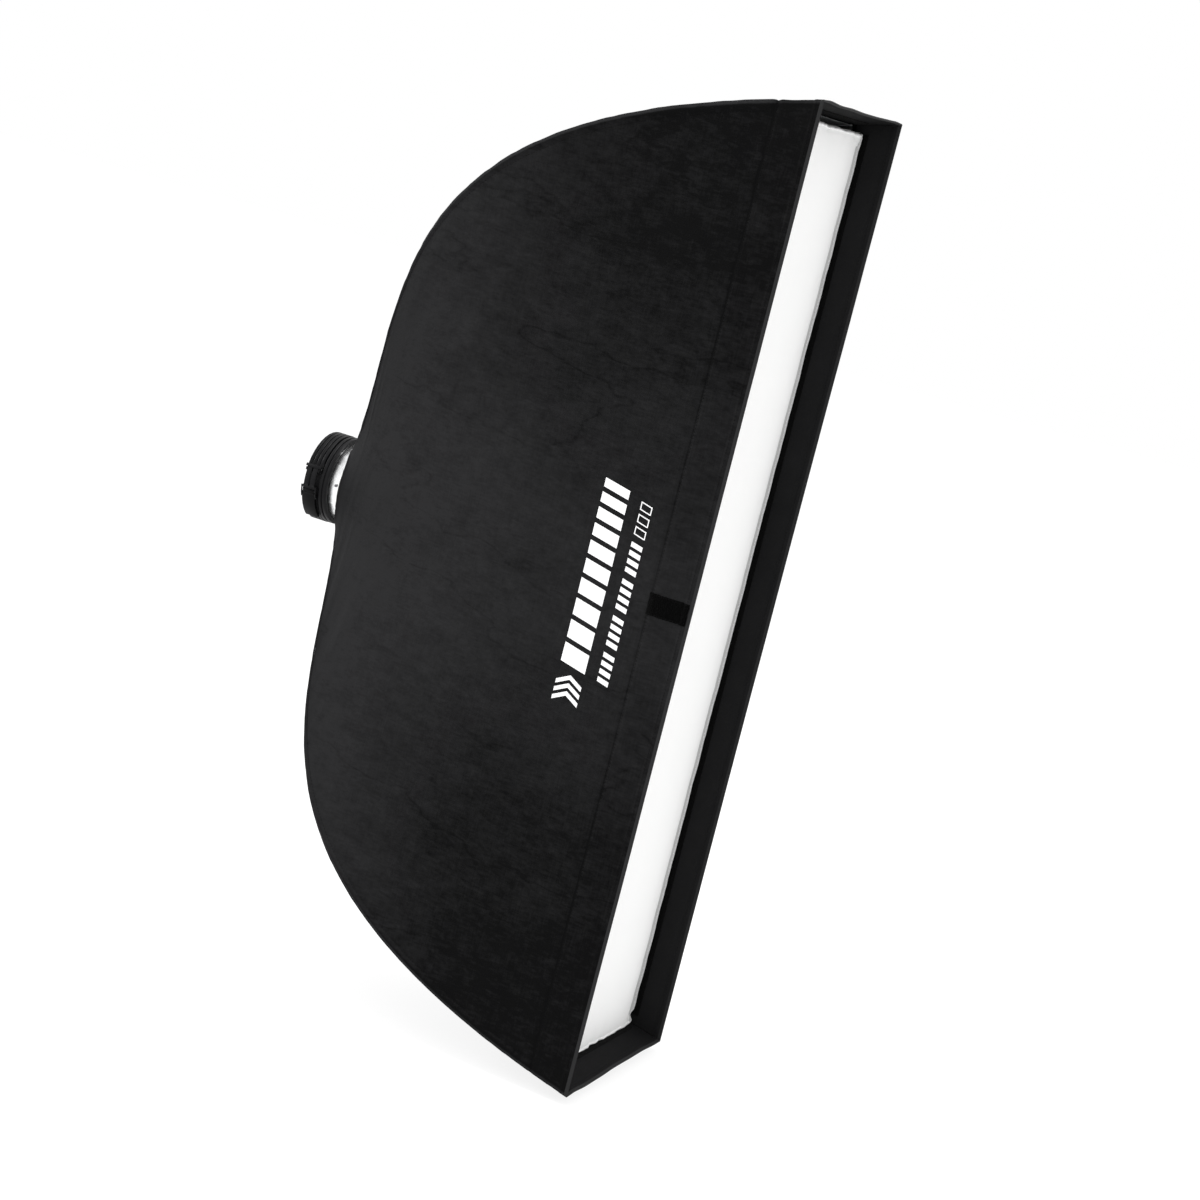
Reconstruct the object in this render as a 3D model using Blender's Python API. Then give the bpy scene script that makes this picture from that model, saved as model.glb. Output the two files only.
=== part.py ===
"""A strip softbox, 1 ft by 4 ft at its front, on a rotating speedring with a clamp collar for a 100 mm lamp head.

Metres. The origin is the centre of the collar's rear face, where a lamp head goes in. +Y is the way the light
leaves, +Z runs along the softbox's long side and +X across its short side. The cover is drawn over four bent rods;
its four corner seams are one curve, mirrored, and every panel, lining and lip strip is worked out from that curve.
"""

import math

import bmesh
import bpy
import numpy as np
from mathutils import Matrix, Vector

# ---- Driving dimensions -------------------------------------------------------------------------------------------
FRONT_X, FRONT_Z = 0.1525, 0.610  # half width and half length of the front rim
DEPTH = 0.587  # collar's rear face to front rim
LIP_DEPTH = 0.055  # the strip of cover in front of the rod seam
DIFFUSER_SET_BACK = 0.042  # front rim to the front diffuser's face
HEM_RADIUS = 0.0665  # the cover's rear opening
HEM_Y = 0.0535
SEAM_REAR = (0.046, 0.048)  # where a corner seam meets the rear opening, in X and Z
# The corner seam seen from the side, as a cubic Bezier in Y and Z from the rear opening to the front rim.
SEAM_CURVE = ((HEM_Y, SEAM_REAR[1]), (0.108, 0.239), (0.0086, 0.4955), (DEPTH, FRONT_Z))

GAP = 0.0003  # between pieces that touch
FABRIC = 0.0012  # cover cloth
LINING = 0.0008
LINING_GAP = 0.0012  # the lining hangs a little behind the cover cloth
LIP_CLOTH = 0.0016
TAPE = 0.0014  # hook-and-loop tape
TAPE_WIDTH = 0.0175

ROD_RADIUS = 0.0030
ROD_INSET = 0.0078  # rod axis behind each of the two cover faces beside it
ROD_END_Y = 0.5245
SOCKET_RADIUS, SOCKET_BORE = 0.0040, 0.0034
SOCKET_REACH = (-0.004, 0.020)  # along the rod, from where the corner seam starts
POCKET_RADIUS, POCKET_LENGTH, POCKET_BORE = 0.0044, 0.030, 0.0034

HEAD_RADIUS = 0.0502  # the bore that takes the lamp head
NECK = (0.0506, 0.0520)  # inner and outer radius of the aluminium neck
COLLAR_LENGTH = 0.0352
STOP_SCREW_Y = 0.0462
SLEEVE = (0.0523, 0.0544)
FLANGE_RADIUS = 0.0574
BAND = (0.0547, 0.0564)
RIB_RADIUS = 0.0579
BAND_Y = (0.0004, 0.0226)
RING = (0.0524, 0.0614)
RING_Y = (0.0536, 0.0664)

# The over-centre latch, placed round the collar by radius and by the angle from +X towards +Z.
LATCH_Y = 0.0115
PIVOT = (0.0588, math.radians(-15.5))
LINK_PIN = (0.0586, math.radians(-24.0))
PIN_RADIUS, PIN_HOLE = 0.0008, 0.00112
LEVER = (0.0569, 0.0604)
LEVER_END = math.radians(-57.0)
LEVER_HALF, LATCH_HALF = 0.0094, 0.0110  # half widths along Y of the lever's plate and of the link's bars
LINK = (0.0596, 0.0612)
LINK_TOP = math.radians(17.5)
BAND_GAP = (math.radians(-10.0), math.radians(9.0))

INNER_Y = 0.360  # inner diffuser
INNER_HALF = (0.105, 0.500)
RING_STEPS = 40
SEAM_CLEARANCE = 0.0030  # how far a lining stops short of the corner seams


# ---- Small tools --------------------------------------------------------------------------------------------------
def clear_scene():
    for obj in list(bpy.data.objects):
        bpy.data.objects.remove(obj, do_unlink=True)


def material(name, colour, roughness, metallic=0.0):
    found = bpy.data.materials.get(name)
    if found:
        return found
    made = bpy.data.materials.new(name)
    made.use_nodes = True
    shader = made.node_tree.nodes["Principled BSDF"]
    shader.inputs["Base Color"].default_value = (*colour, 1.0)
    shader.inputs["Roughness"].default_value = roughness
    shader.inputs["Metallic"].default_value = metallic
    return made


def black_cloth():
    return material("black_cloth", (0.018, 0.018, 0.019), 0.85)


def silver_cloth():
    return material("silver_cloth", (0.72, 0.73, 0.75), 0.35, 0.6)


def white_cloth():
    return material("white_cloth", (0.93, 0.93, 0.92), 0.8)


def black_tape():
    return material("black_tape", (0.010, 0.010, 0.010), 0.95)


def black_plastic():
    return material("black_plastic", (0.022, 0.022, 0.023), 0.45)


def aluminium():
    return material("aluminium", (0.80, 0.81, 0.82), 0.28, 1.0)


def steel():
    return material("steel", (0.55, 0.56, 0.58), 0.3, 1.0)


def rubber():
    return material("rubber", (0.015, 0.015, 0.015), 0.9)


def add_object(name, mesh, surface, smooth=True):
    obj = bpy.data.objects.new(name, mesh)
    bpy.context.scene.collection.objects.link(obj)
    mesh.materials.append(surface)
    if smooth:
        mesh.shade_smooth()
        mesh.set_sharp_from_angle(angle=math.radians(35))
    return obj


def mesh_from(name, points, faces):
    """A mesh whose faces all point outwards where it is closed."""
    mesh = bpy.data.meshes.new(name)
    mesh.from_pydata([tuple(float(c) for c in p) for p in points], [], faces)
    shape = bmesh.new()
    shape.from_mesh(mesh)
    bmesh.ops.recalc_face_normals(shape, faces=shape.faces)
    shape.to_mesh(mesh)
    shape.free()
    return mesh


def polar(radius, angle, y):
    return (radius * math.cos(angle), y, radius * math.sin(angle))


def swept(name, profile_at, start, end, steps, surface):
    """Turns a closed profile of (radius, y) points round the Y axis, all the way round or from start to end."""
    whole = abs(end - start) > 2 * math.pi - 1e-6
    count = steps if whole else steps + 1
    points = []
    for i in range(count):
        angle = start + (end - start) * i / steps
        points += [polar(radius, angle, y) for radius, y in profile_at(angle)]
    n = len(points) // count
    faces = []
    for i in range(steps):
        a, b = i * n, (i + 1) % count * n
        faces += [(a + k, a + (k + 1) % n, b + (k + 1) % n, b + k) for k in range(n)]
    if not whole:
        faces += [tuple(range(n)), tuple(reversed(range((count - 1) * n, count * n)))]
    return add_object(name, mesh_from(name, points, faces), surface)


def turned(name, profile, surface, steps=RING_STEPS):
    return swept(name, lambda angle: profile, 0.0, 2 * math.pi, steps, surface)


def ring(name, radii, span, surface, steps=RING_STEPS):
    """A plain washer or tube between two radii and two Y positions."""
    (inner, outer), (low, high) = radii, span
    profile = [(inner, low), (outer, low), (outer, high), (inner, high)]
    return turned(name, profile, surface, steps)


def arc_block(name, radii, angles, span, surface, steps=6):
    """A block bent round the Y axis."""
    (inner, outer), (low, high) = radii, span
    profile = [(inner, low), (outer, low), (outer, high), (inner, high)]
    return swept(name, lambda angle: profile, angles[0], angles[1], steps, surface)


def cylinder(name, start, end, radius, surface, segments=16):
    """A round bar between two points."""
    start, end = Vector(start), Vector(end)
    shape = bmesh.new()
    bmesh.ops.create_cone(
        shape, cap_ends=True, segments=segments, radius1=radius, radius2=radius, depth=(end - start).length
    )
    mesh = bpy.data.meshes.new(name)
    shape.to_mesh(mesh)
    shape.free()
    obj = add_object(name, mesh, surface)
    obj.rotation_mode = "QUATERNION"
    obj.rotation_quaternion = (end - start).to_track_quat("Z", "Y")
    obj.location = (start + end) / 2
    return obj


def box(name, low, high, surface):
    shape = bmesh.new()
    bmesh.ops.create_cube(shape, size=1.0)
    size, middle = Vector(high) - Vector(low), (Vector(high) + Vector(low)) / 2
    bmesh.ops.transform(shape, matrix=Matrix.Diagonal((*size, 1.0)), verts=shape.verts)
    mesh = bpy.data.meshes.new(name)
    shape.to_mesh(mesh)
    shape.free()
    obj = add_object(name, mesh, surface, smooth=False)
    obj.location = middle
    return obj


def helper(obj):
    """Keeps a cutter or a joined piece out of the finished object."""
    obj.hide_render = True
    obj.display_type = "WIRE"
    return obj


def combine(obj, others, operation):
    for other in others:
        modifier = obj.modifiers.new(operation.lower(), "BOOLEAN")
        modifier.operation = operation
        modifier.solver = "EXACT"
        modifier.object = helper(other)
    return obj


def cut(obj, *cutters):
    return combine(obj, cutters, "DIFFERENCE")


def join(obj, *others):
    return combine(obj, others, "UNION")


# ---- The corner seam and the surfaces that hang on it -------------------------------------------------------------
def bezier(points, t):
    a, b, c, d = (np.array(p, float) for p in points)
    s = 1.0 - t
    return s**3 * a + 3 * s**2 * t * b + 3 * s * t**2 * c + t**3 * d


def seam(t):
    """A point on the outer corner seam of the +X +Z quarter, t from 0 at the rear opening to 1 at the front rim."""
    y, z = bezier(SEAM_CURVE, t)
    share = (z - SEAM_REAR[1]) / (FRONT_Z - SEAM_REAR[1])
    return np.array((SEAM_REAR[0] + share * (FRONT_X - SEAM_REAR[0]), y, z))


def seam_normal(t):
    """Unit normal of the end panel at t, in the YZ plane, pointing out of the softbox."""
    ahead, behind = seam(min(1.0, t + 1e-3)), seam(max(0.0, t - 1e-3))
    dy, dz = (ahead - behind)[1:]
    return np.array((0.0, -dz, dy)) / math.hypot(dy, dz)


SEAM_TABLE_T = np.linspace(0.0, 1.0, 401)
SEAM_TABLE = np.array([seam(t) for t in SEAM_TABLE_T])
SEAM_TABLE_LENGTH = np.concatenate([[0.0], np.cumsum(np.linalg.norm(np.diff(SEAM_TABLE, axis=0), axis=1))])


def t_at_length(length):
    return np.interp(length, SEAM_TABLE_LENGTH, SEAM_TABLE_T)


def t_at_y(y):
    """Only for the front half of the seam, where Y always grows."""
    front = SEAM_TABLE_T > 0.5
    return np.interp(y, SEAM_TABLE[front, 1], SEAM_TABLE_T[front])


def t_at_z(z):
    return np.interp(z, SEAM_TABLE[:, 2], SEAM_TABLE_T)


T_LIP = float(t_at_y(DEPTH - LIP_DEPTH))


def even_steps(t_start, t_end, count):
    """count + 1 parameters, evenly spaced along the seam."""
    first, last = np.interp([t_start, t_end], SEAM_TABLE_T, SEAM_TABLE_LENGTH)
    return t_at_length(np.linspace(first, last, count + 1))


def grid_triangles(rows, columns):
    found = []
    for i in range(rows - 1):
        for j in range(columns - 1):
            a = i * columns + j
            b, c, d = a + 1, a + columns, a + columns + 1
            found += [(a, c, b), (b, c, d)]
    return np.array(found)


def stretched(flat, heights, free, triangles):
    """Heights over a flat net of points, where the free ones settle as cloth pulled tight between the others does."""
    count = len(flat)
    pull = np.zeros((count, count))
    for corners in triangles:
        for k in range(3):
            i, j, opposite = corners[k], corners[(k + 1) % 3], corners[(k + 2) % 3]
            u, v = flat[i] - flat[opposite], flat[j] - flat[opposite]
            weight = 0.5 * (u @ v) / max(abs(u[0] * v[1] - u[1] * v[0]), 1e-12)
            pull[i, j] -= weight
            pull[j, i] -= weight
            pull[i, i] += weight
            pull[j, j] += weight
    settled = heights.copy()
    held = ~free
    settled[free] = np.linalg.solve(pull[np.ix_(free, free)], -pull[np.ix_(free, held)] @ heights[held])
    return settled


def side_panel_net(rows=13, columns=11):
    """The +X panel from the rear opening to the lip seam, as rows of points from the -Z seam to the +Z seam."""
    steps = even_steps(0.0, T_LIP, rows - 1)
    across = np.linspace(-1.0, 1.0, columns)
    net = np.zeros((rows, columns, 3))
    for i, t in enumerate(steps):
        x, y, z = seam(t)
        net[i] = np.stack([np.full(columns, x), np.full(columns, y), across * z], axis=1)
    net[0, :, 0] = np.sqrt(HEM_RADIUS**2 - net[0, :, 2] ** 2)
    free = np.zeros((rows, columns), bool)
    free[1:-1, 1:-1] = True
    points = net.reshape(-1, 3)
    points[:, 0] = stretched(points[:, 1:], points[:, 0], free.ravel(), grid_triangles(rows, columns))
    return net


def end_panel_net(rows=15, columns=5):
    """The +Z panel from the rear opening to the lip seam, as rows of points from the -X seam to the +X seam."""
    across = np.linspace(-1.0, 1.0, columns)
    net = np.zeros((rows, columns, 3))
    for j, u in enumerate(across):
        hem_z = math.sqrt(HEM_RADIUS**2 - (u * SEAM_REAR[0]) ** 2)
        for i, t in enumerate(even_steps(float(t_at_z(hem_z)), T_LIP, rows - 1)):
            x, y, z = seam(t)
            net[i, j] = (u * (x - FABRIC - 2 * GAP), y, z)
    return net


def net_normals(net):
    """Unit normals of a net of points, along the cross product of its two directions."""
    along, across = np.gradient(net, axis=0), np.gradient(net, axis=1)
    normal = np.cross(along, across)
    return normal / np.linalg.norm(normal, axis=2, keepdims=True)


def unit(vectors):
    return vectors / np.linalg.norm(vectors, axis=-1, keepdims=True)


def net_sheet(name, net, outward, depth, thickness, surface, short=0.0):
    """A cloth between two depths behind the net, whose edges stop short of the net's own edges."""
    normals = net_normals(net)
    middle = normals[net.shape[0] // 2, net.shape[1] // 2]
    if middle @ np.array(outward, float) < 0:
        normals = -normals
    net = net.copy()
    for places, facing in ((net.swapaxes(0, 1), normals.swapaxes(0, 1)), (net, normals)):
        for edge, beside in ((0, 1), (-1, -2)):
            inward = places[beside] - places[edge]
            room = np.linalg.norm(inward, axis=1)
            run = unit(np.gradient(places[edge], axis=0))
            slant = np.linalg.norm(np.cross(unit(inward), run), axis=1)
            share = (np.minimum(short / slant, 0.85 * room) / room)[:, None]
            places[edge] += inward * share
            facing[edge] = unit(facing[edge] * (1 - share) + facing[beside] * share)
    rows, columns = net.shape[:2]
    count = rows * columns
    points = np.concatenate([(net - normals * d).reshape(-1, 3) for d in (depth, depth + thickness)])
    triangles = grid_triangles(rows, columns)
    faces = [tuple(int(k) for k in corners) for corners in (*triangles, *(triangles[:, ::-1] + count))]
    rim = [j for j in range(columns)] + [i * columns + columns - 1 for i in range(1, rows)]
    rim += [(rows - 1) * columns + j for j in range(columns - 2, -1, -1)] + [i * columns for i in range(rows - 2, 0, -1)]
    faces += [(a, b, b + count, a + count) for a, b in zip(rim, rim[1:] + rim[:1])]
    return add_object(name, mesh_from(name, points, faces), surface)


def mirrored(net, axis):
    other = net.copy()
    other[:, :, axis] *= -1
    return other


# ---- Cover --------------------------------------------------------------------------------------------------------
def cover_panels():
    """The four outer panels, and a silver lining behind each."""
    side, end = side_panel_net(), end_panel_net()
    for kind, place, net, outward in (
        ("side", "left", side, (1, 0, 0)),
        ("side", "right", mirrored(side, 0), (-1, 0, 0)),
        ("end", "top", end, (0, -0.7, 0.7)),
        ("end", "bottom", mirrored(end, 2), (0, -0.7, -0.7)),
    ):
        net_sheet(f"{kind}_panel_{place}", net, outward, 0.0, FABRIC, black_cloth())
        lining = f"{kind}_lining_{place}"
        net_sheet(lining, net, outward, FABRIC + LINING_GAP, LINING, silver_cloth(), SEAM_CLEARANCE)


def lip_strip(name, corners, outward, depth, thickness, surface):
    """A flat strip with four corners on the cover's outer face, its own outer face depth behind them."""
    net = np.array(corners, float).reshape(2, 2, 3)
    return net_sheet(name, net, outward, depth, thickness, surface)


def lip():
    """The four flat strips in front of the rod seam, and the tape round their inner faces."""
    x0, y0, z0 = seam(T_LIP)
    y0 += GAP
    y1 = DEPTH - 0.0025
    share = (y1 - y0) / (DEPTH - y0)
    x1, z1 = x0 + (FRONT_X - x0) * share, z0 + (FRONT_Z - z0) * share
    tape_share = (TAPE_WIDTH + 0.001) / (y1 - y0)
    tape_x, tape_y, tape_z = x0 + (x1 - x0) * tape_share, y0 + (y1 - y0) * tape_share, z0 + (z1 - z0) * tape_share
    inset = LIP_CLOTH + 2 * GAP
    corner = 0.014
    for name, sign in (("left", 1), ("right", -1)):
        side = [(sign * x0, y0, -z0), (sign * x0, y0, z0), (sign * x1, y1, -z1), (sign * x1, y1, z1)]
        lip_strip(f"side_lip_{name}", side, (sign, 0, 0), 0.0, LIP_CLOTH, black_cloth())
        tape = [
            (sign * x0, y0, corner - z0),
            (sign * x0, y0, z0 - corner),
            (sign * tape_x, tape_y, corner - tape_z),
            (sign * tape_x, tape_y, tape_z - corner),
        ]
        lip_strip(f"side_tape_{name}", tape, (sign, 0, 0), LIP_CLOTH + GAP, TAPE, black_tape())
    for name, sign in (("top", 1), ("bottom", -1)):
        end = [
            (inset - x0, y0, sign * z0),
            (x0 - inset, y0, sign * z0),
            (inset - x1, y1, sign * z1),
            (x1 - inset, y1, sign * z1),
        ]
        lip_strip(f"end_lip_{name}", end, (0, 0, sign), 0.0, LIP_CLOTH, black_cloth())
        tape = [
            (corner - x0, y0 + 0.0005, sign * (z0 + 0.0001)),
            (x0 - corner, y0 + 0.0005, sign * (z0 + 0.0001)),
            (corner - x0, tape_y, sign * tape_z),
            (x0 - corner, tape_y, sign * tape_z),
        ]
        lip_strip(f"end_tape_{name}", tape, (0, 0, sign), LIP_CLOTH + GAP, TAPE, black_tape())


def rim_binding():
    """The folded tape round the front rim: a flat rectangular frame."""
    low, high, width = DEPTH - 0.0018, DEPTH, 0.0040
    frame = box("rim_binding", (-FRONT_X, low, -FRONT_Z), (FRONT_X, high, FRONT_Z), black_cloth())
    hole = box(
        "rim_binding_hole",
        (width - FRONT_X, low - 0.01, width - FRONT_Z),
        (FRONT_X - width, high + 0.01, FRONT_Z - width),
        black_cloth(),
    )
    return cut(frame, hole)


def loop_patches():
    """The patch of loop tape in the middle of each side lip, which holds a grid or mask that goes over the front."""
    x0, y0, _ = seam(T_LIP)
    slope = (FRONT_X - x0) / (DEPTH - y0)
    near, far, half = y0 + 0.0015, DEPTH - 0.005, 0.0130
    for name, sign in (("left", 1), ("right", -1)):
        corners = [(sign * (x0 + slope * (y - y0)), y, z) for y in (near, far) for z in (-half, half)]
        lip_strip(f"loop_patch_{name}", corners, (sign, 0, 0), -TAPE - GAP, TAPE, black_tape())


# ---- Rods and what holds them -------------------------------------------------------------------------------------
def rod_point(t):
    """The rod's axis, inside the corner seam."""
    return seam(t) - ROD_INSET * seam_normal(t) - np.array((ROD_INSET, 0.0, 0.0))


def rods():
    """Four bent rods, their metal sockets at the speedring and the webbing pockets that take their front ends."""
    last = float(t_at_y(ROD_END_Y))
    steps = even_steps(0.0, last, 22)
    axis = [rod_point(t) for t in steps]
    start = Vector(rod_point(0.0))
    along = (Vector(rod_point(float(t_at_length(SOCKET_REACH[1])))) - start).normalized()
    front = (Vector(axis[-1]) - Vector(axis[-2])).normalized()
    pocket_end = Vector(axis[-1]) + front * 0.003
    pocket_start = pocket_end - front * POCKET_LENGTH
    corners = (("left_top", 1, 1), ("left_bottom", 1, -1), ("right_top", -1, 1), ("right_bottom", -1, -1))
    for name, sx, sz in corners:
        flip = Vector((sx, 1, sz))
        curve = bpy.data.curves.new(f"rod_{name}", "CURVE")
        curve.dimensions = "3D"
        curve.bevel_depth = ROD_RADIUS
        curve.bevel_resolution = 2
        curve.use_fill_caps = True
        spline = curve.splines.new("POLY")
        spline.points.add(len(axis) - 1)
        for point, place in zip(spline.points, axis):
            point.co = (*(Vector(place) * flip), 1.0)
        curve.materials.append(steel())
        rod = bpy.data.objects.new(f"rod_{name}", curve)
        bpy.context.scene.collection.objects.link(rod)
        ends = [(start + along * reach) * flip for reach in SOCKET_REACH]
        deep = [(start + along * reach) * flip for reach in (-0.0008, SOCKET_REACH[1] + 0.004)]
        socket = cylinder(f"rod_socket_{name}", *ends, SOCKET_RADIUS, aluminium(), 18)
        cut(socket, cylinder(f"rod_socket_{name}_bore", *deep, SOCKET_BORE, aluminium(), 18))
        pocket = cylinder(
            f"rod_pocket_{name}", pocket_start * flip, pocket_end * flip, POCKET_RADIUS, black_tape(), 16
        )
        bore = [(pocket_start - front * 0.002) * flip, (pocket_end - front * 0.0022) * flip]
        cut(pocket, cylinder(f"rod_pocket_{name}_bore", *bore, POCKET_BORE, black_tape(), 16))


def speedring():
    """The ring that carries the four rods and turns on the neck, with a set screw over each rod socket."""
    body = ring("speedring_body", RING, RING_Y, black_plastic())
    start = Vector(rod_point(0.0))
    along = (Vector(rod_point(float(t_at_length(SOCKET_REACH[1])))) - start).normalized()
    cutters = []
    for name, sx, sz in (("left_top", 1, 1), ("left_bottom", 1, -1), ("right_top", -1, 1), ("right_bottom", -1, -1)):
        flip = Vector((sx, 1, sz))
        ends = [(start + along * reach) * flip for reach in (SOCKET_REACH[0] - GAP, 0.03)]
        cutters.append(cylinder(f"speedring_hole_{name}", *ends, SOCKET_RADIUS + GAP, black_plastic(), 18))
        x, y, z = start * flip
        screw_from = y + SOCKET_RADIUS + 2 * GAP
        hole = ((x, y, z), (x, RING_Y[1] + 0.01, z))
        cutters.append(cylinder(f"speedring_thread_{name}", *hole, 0.0019, black_plastic(), 12))
        screw = cylinder(f"socket_screw_{name}", (x, screw_from, z), (x, RING_Y[1] + 0.0016, z), 0.0015, steel(), 12)
        drive = ((x, RING_Y[1], z), (x, RING_Y[1] + 0.003, z))
        cut(screw, cylinder(f"socket_screw_drive_{name}", *drive, 0.0008, steel(), 6))
    cut(body, *cutters)


def rear_hem():
    """The bound edge of the cover's rear opening, behind the speedring."""
    ring("rear_hem_binding", (HEM_RADIUS - 0.0014, HEM_RADIUS + 0.0016), (HEM_Y - 0.0030, HEM_Y - GAP), black_cloth())


# ---- Neck and clamp collar ----------------------------------------------------------------------------------------
def clamp_slots(name, count=6, width=0.0026, length=0.021):
    """Cutters for the slots that let the rear of the neck and its sleeve close on a lamp head."""
    cutters = []
    for k in range(count):
        angle = math.radians(30 + 60 * k)
        slot = box(f"{name}_{k}", (-0.5, -0.5, -0.5), (0.5, 0.5, 0.5), black_plastic())
        slot.scale = (0.020, length + 0.002, width)
        slot.location = polar(0.053, angle, length / 2 - 0.001)
        slot.rotation_euler = (0.0, -angle, 0.0)
        cutters.append(slot)
    return cutters


def neck():
    """The aluminium tube: the clamp closes its slotted rear end, the speedring turns on its front end."""
    inner, outer = NECK
    groove, shoulder = outer - 0.0007, outer + 0.0026
    front = 0.0740
    profile = [
        (inner, 0.0012),
        (outer, 0.0012),
        (outer, 0.0496),
        (shoulder, 0.0496),
        (shoulder, 0.0514),
        (outer, 0.0514),
        (outer, 0.0689),
        (groove, 0.0689),
        (groove, 0.0709),
        (outer, 0.0709),
        (outer, front),
        (inner, front),
    ]
    cut(turned("adapter_neck", profile, aluminium()), *clamp_slots("neck_slot"))
    ring("rear_washer", (outer + GAP, 0.0600), (0.0517, 0.0533), white_cloth())
    ring("front_washer", (outer + GAP, 0.0565), (0.0667, 0.0679), white_cloth())
    snap_angles = (math.radians(8), math.radians(352))
    arc_block("retaining_ring", (groove + GAP, 0.0560), snap_angles, (0.0692, 0.0706), steel(), 40)
    ring("head_liner", (HEAD_RADIUS - 0.0010, HEAD_RADIUS + 0.0001), (0.0240, 0.0300), rubber())
    ends = [polar(radius, 0.0, STOP_SCREW_Y) for radius in (outer + GAP, 0.0550)]
    screw = cylinder("neck_stop_screw", *ends, 0.0019, steel(), 16)
    drive = [polar(radius, 0.0, STOP_SCREW_Y) for radius in (0.0541, 0.0570)]
    cut(screw, cylinder("neck_stop_screw_drive", *drive, 0.0010, steel(), 6))


def clamp_sleeve():
    """The plastic sleeve under the clamp band, with a grooved front flange."""
    inner, outer = SLEEVE
    groove = FLANGE_RADIUS - 0.0014
    profile = [
        (inner, 0.0),
        (outer - 0.0004, 0.0),
        (outer, 0.0004),
        (outer, 0.0243),
        (FLANGE_RADIUS, 0.0243),
        (FLANGE_RADIUS, 0.0284),
        (groove, 0.0288),
        (groove, 0.0302),
        (FLANGE_RADIUS, 0.0306),
        (FLANGE_RADIUS - 0.0004, COLLAR_LENGTH),
        (inner, COLLAR_LENGTH),
    ]
    cut(turned("clamp_sleeve", profile, black_plastic()), *clamp_slots("sleeve_slot"))


def clamp_band():
    """The split band: four ribs round it, two ears for the lever's pivot and two prongs that the link hooks on."""
    inner, outer = BAND
    low, high = BAND_Y
    pitch = (high - low) / 4
    ribs_from, ribs_to = math.radians(18), math.radians(296)

    def profile(angle):
        rib = RIB_RADIUS if ribs_from - 1e-6 <= angle <= ribs_to + 1e-6 else outer
        points = [(inner, low)]
        for k in range(4):
            start, end = low + k * pitch, low + (k + 1) * pitch
            points += [(outer, start + 0.0001), (rib, start + 0.0008), (rib, end - 0.0008), (outer, end - 0.0001)]
        return points + [(inner, high)]

    band = swept("clamp_band", profile, BAND_GAP[1], 2 * math.pi + BAND_GAP[0], 38, black_plastic())
    radius, angle = PIVOT
    pieces = []
    for side in (-1, 1):
        ear_span = sorted((LATCH_Y + side * 0.0070, LATCH_Y + side * 0.0086))
        ear_angles = (angle - 0.0275, angle + 0.0275)
        pieces.append(arc_block(f"band_ear_{side}", (inner + 0.0004, 0.0605), ear_angles, ear_span, black_plastic(), 2))
        prong_span = sorted((LATCH_Y + side * 0.0084, LATCH_Y + side * 0.0100))
        prong_angles = (BAND_GAP[1] + 0.008, math.radians(13.2))
        pieces.append(
            arc_block(f"band_prong_{side}", (inner + 0.0004, 0.0608), prong_angles, prong_span, black_plastic(), 2)
        )
    join(band, *pieces)
    hole = [polar(radius, angle, LATCH_Y + reach) for reach in (-0.010, 0.010)]
    cut(band, cylinder("band_pin_hole", *hole, PIN_HOLE, black_plastic(), 12))


def latch_lever():
    """The lever that draws the band shut: a curved plate, narrower where its knuckle turns between the band's ears."""
    radius, angle = PIVOT
    start = angle - math.radians(2.6)
    lever = arc_block(
        "latch_lever", LEVER, (LEVER_END, start), (LATCH_Y - LEVER_HALF, LATCH_Y + LEVER_HALF), black_plastic(), 10
    )
    knuckle = [polar(radius, angle, LATCH_Y + reach) for reach in (-0.0067, 0.0067)]
    bridge_angles = (start - 0.02, angle + 0.006)
    bridge_span = (LATCH_Y - 0.0066, LATCH_Y + 0.0066)
    bridge = arc_block("lever_bridge", (0.0578, 0.0602), bridge_angles, bridge_span, black_plastic(), 2)
    join(lever, cylinder("lever_knuckle", *knuckle, 0.0021, black_plastic(), 16), bridge)
    cutters = []
    for name, (pin_radius, pin_angle) in (("pivot", PIVOT), ("link", LINK_PIN)):
        ends = [polar(pin_radius, pin_angle, LATCH_Y + reach) for reach in (-0.012, 0.012)]
        cutters.append(cylinder(f"lever_hole_{name}", *ends, PIN_HOLE, black_plastic(), 12))
    cut(lever, *cutters)
    pins = (("latch_pivot_pin", PIVOT, 0.0088), ("latch_link_pin", LINK_PIN, 0.0109))
    for name, (pin_radius, pin_angle), reach in pins:
        ends = [polar(pin_radius, pin_angle, LATCH_Y + side * reach) for side in (-1, 1)]
        cylinder(name, *ends, PIN_RADIUS, steel(), 12)


def latch_link():
    """The link: two rails between a top bar, which hooks on the band's prongs, and a bottom bar with two arms."""
    bottom, middle = math.radians(-12.2), math.radians(-9.4)
    top = LINK_TOP - math.radians(3.4)
    bar = (LATCH_Y - LATCH_HALF, LATCH_Y + LATCH_HALF)
    link = arc_block("latch_link", LINK, (top, LINK_TOP), bar, black_plastic(), 2)
    pieces = [arc_block("link_bottom_bar", LINK, (bottom, middle), bar, black_plastic(), 2)]
    for side in (-1, 1):
        rail = sorted((LATCH_Y + side * 0.0010, LATCH_Y + side * 0.0078))
        inside = (LINK[0] + 0.0002, LINK[1] - 0.0002)
        pieces.append(arc_block(f"link_rail_{side}", inside, (bottom + 0.01, LINK_TOP - 0.01), rail, black_plastic(), 6))
        arm = sorted((LATCH_Y + side * (LEVER_HALF + 0.0003), LATCH_Y + side * (LATCH_HALF - 0.0001)))
        pieces.append(arm_plate(f"link_arm_{side}", arm))
    join(link, *pieces)
    eye_radius, eye_angle = LINK_PIN
    ends = [polar(eye_radius, eye_angle, LATCH_Y + reach) for reach in (-0.014, 0.014)]
    cut(link, cylinder("link_eye", *ends, PIN_HOLE, black_plastic(), 12))


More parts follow.
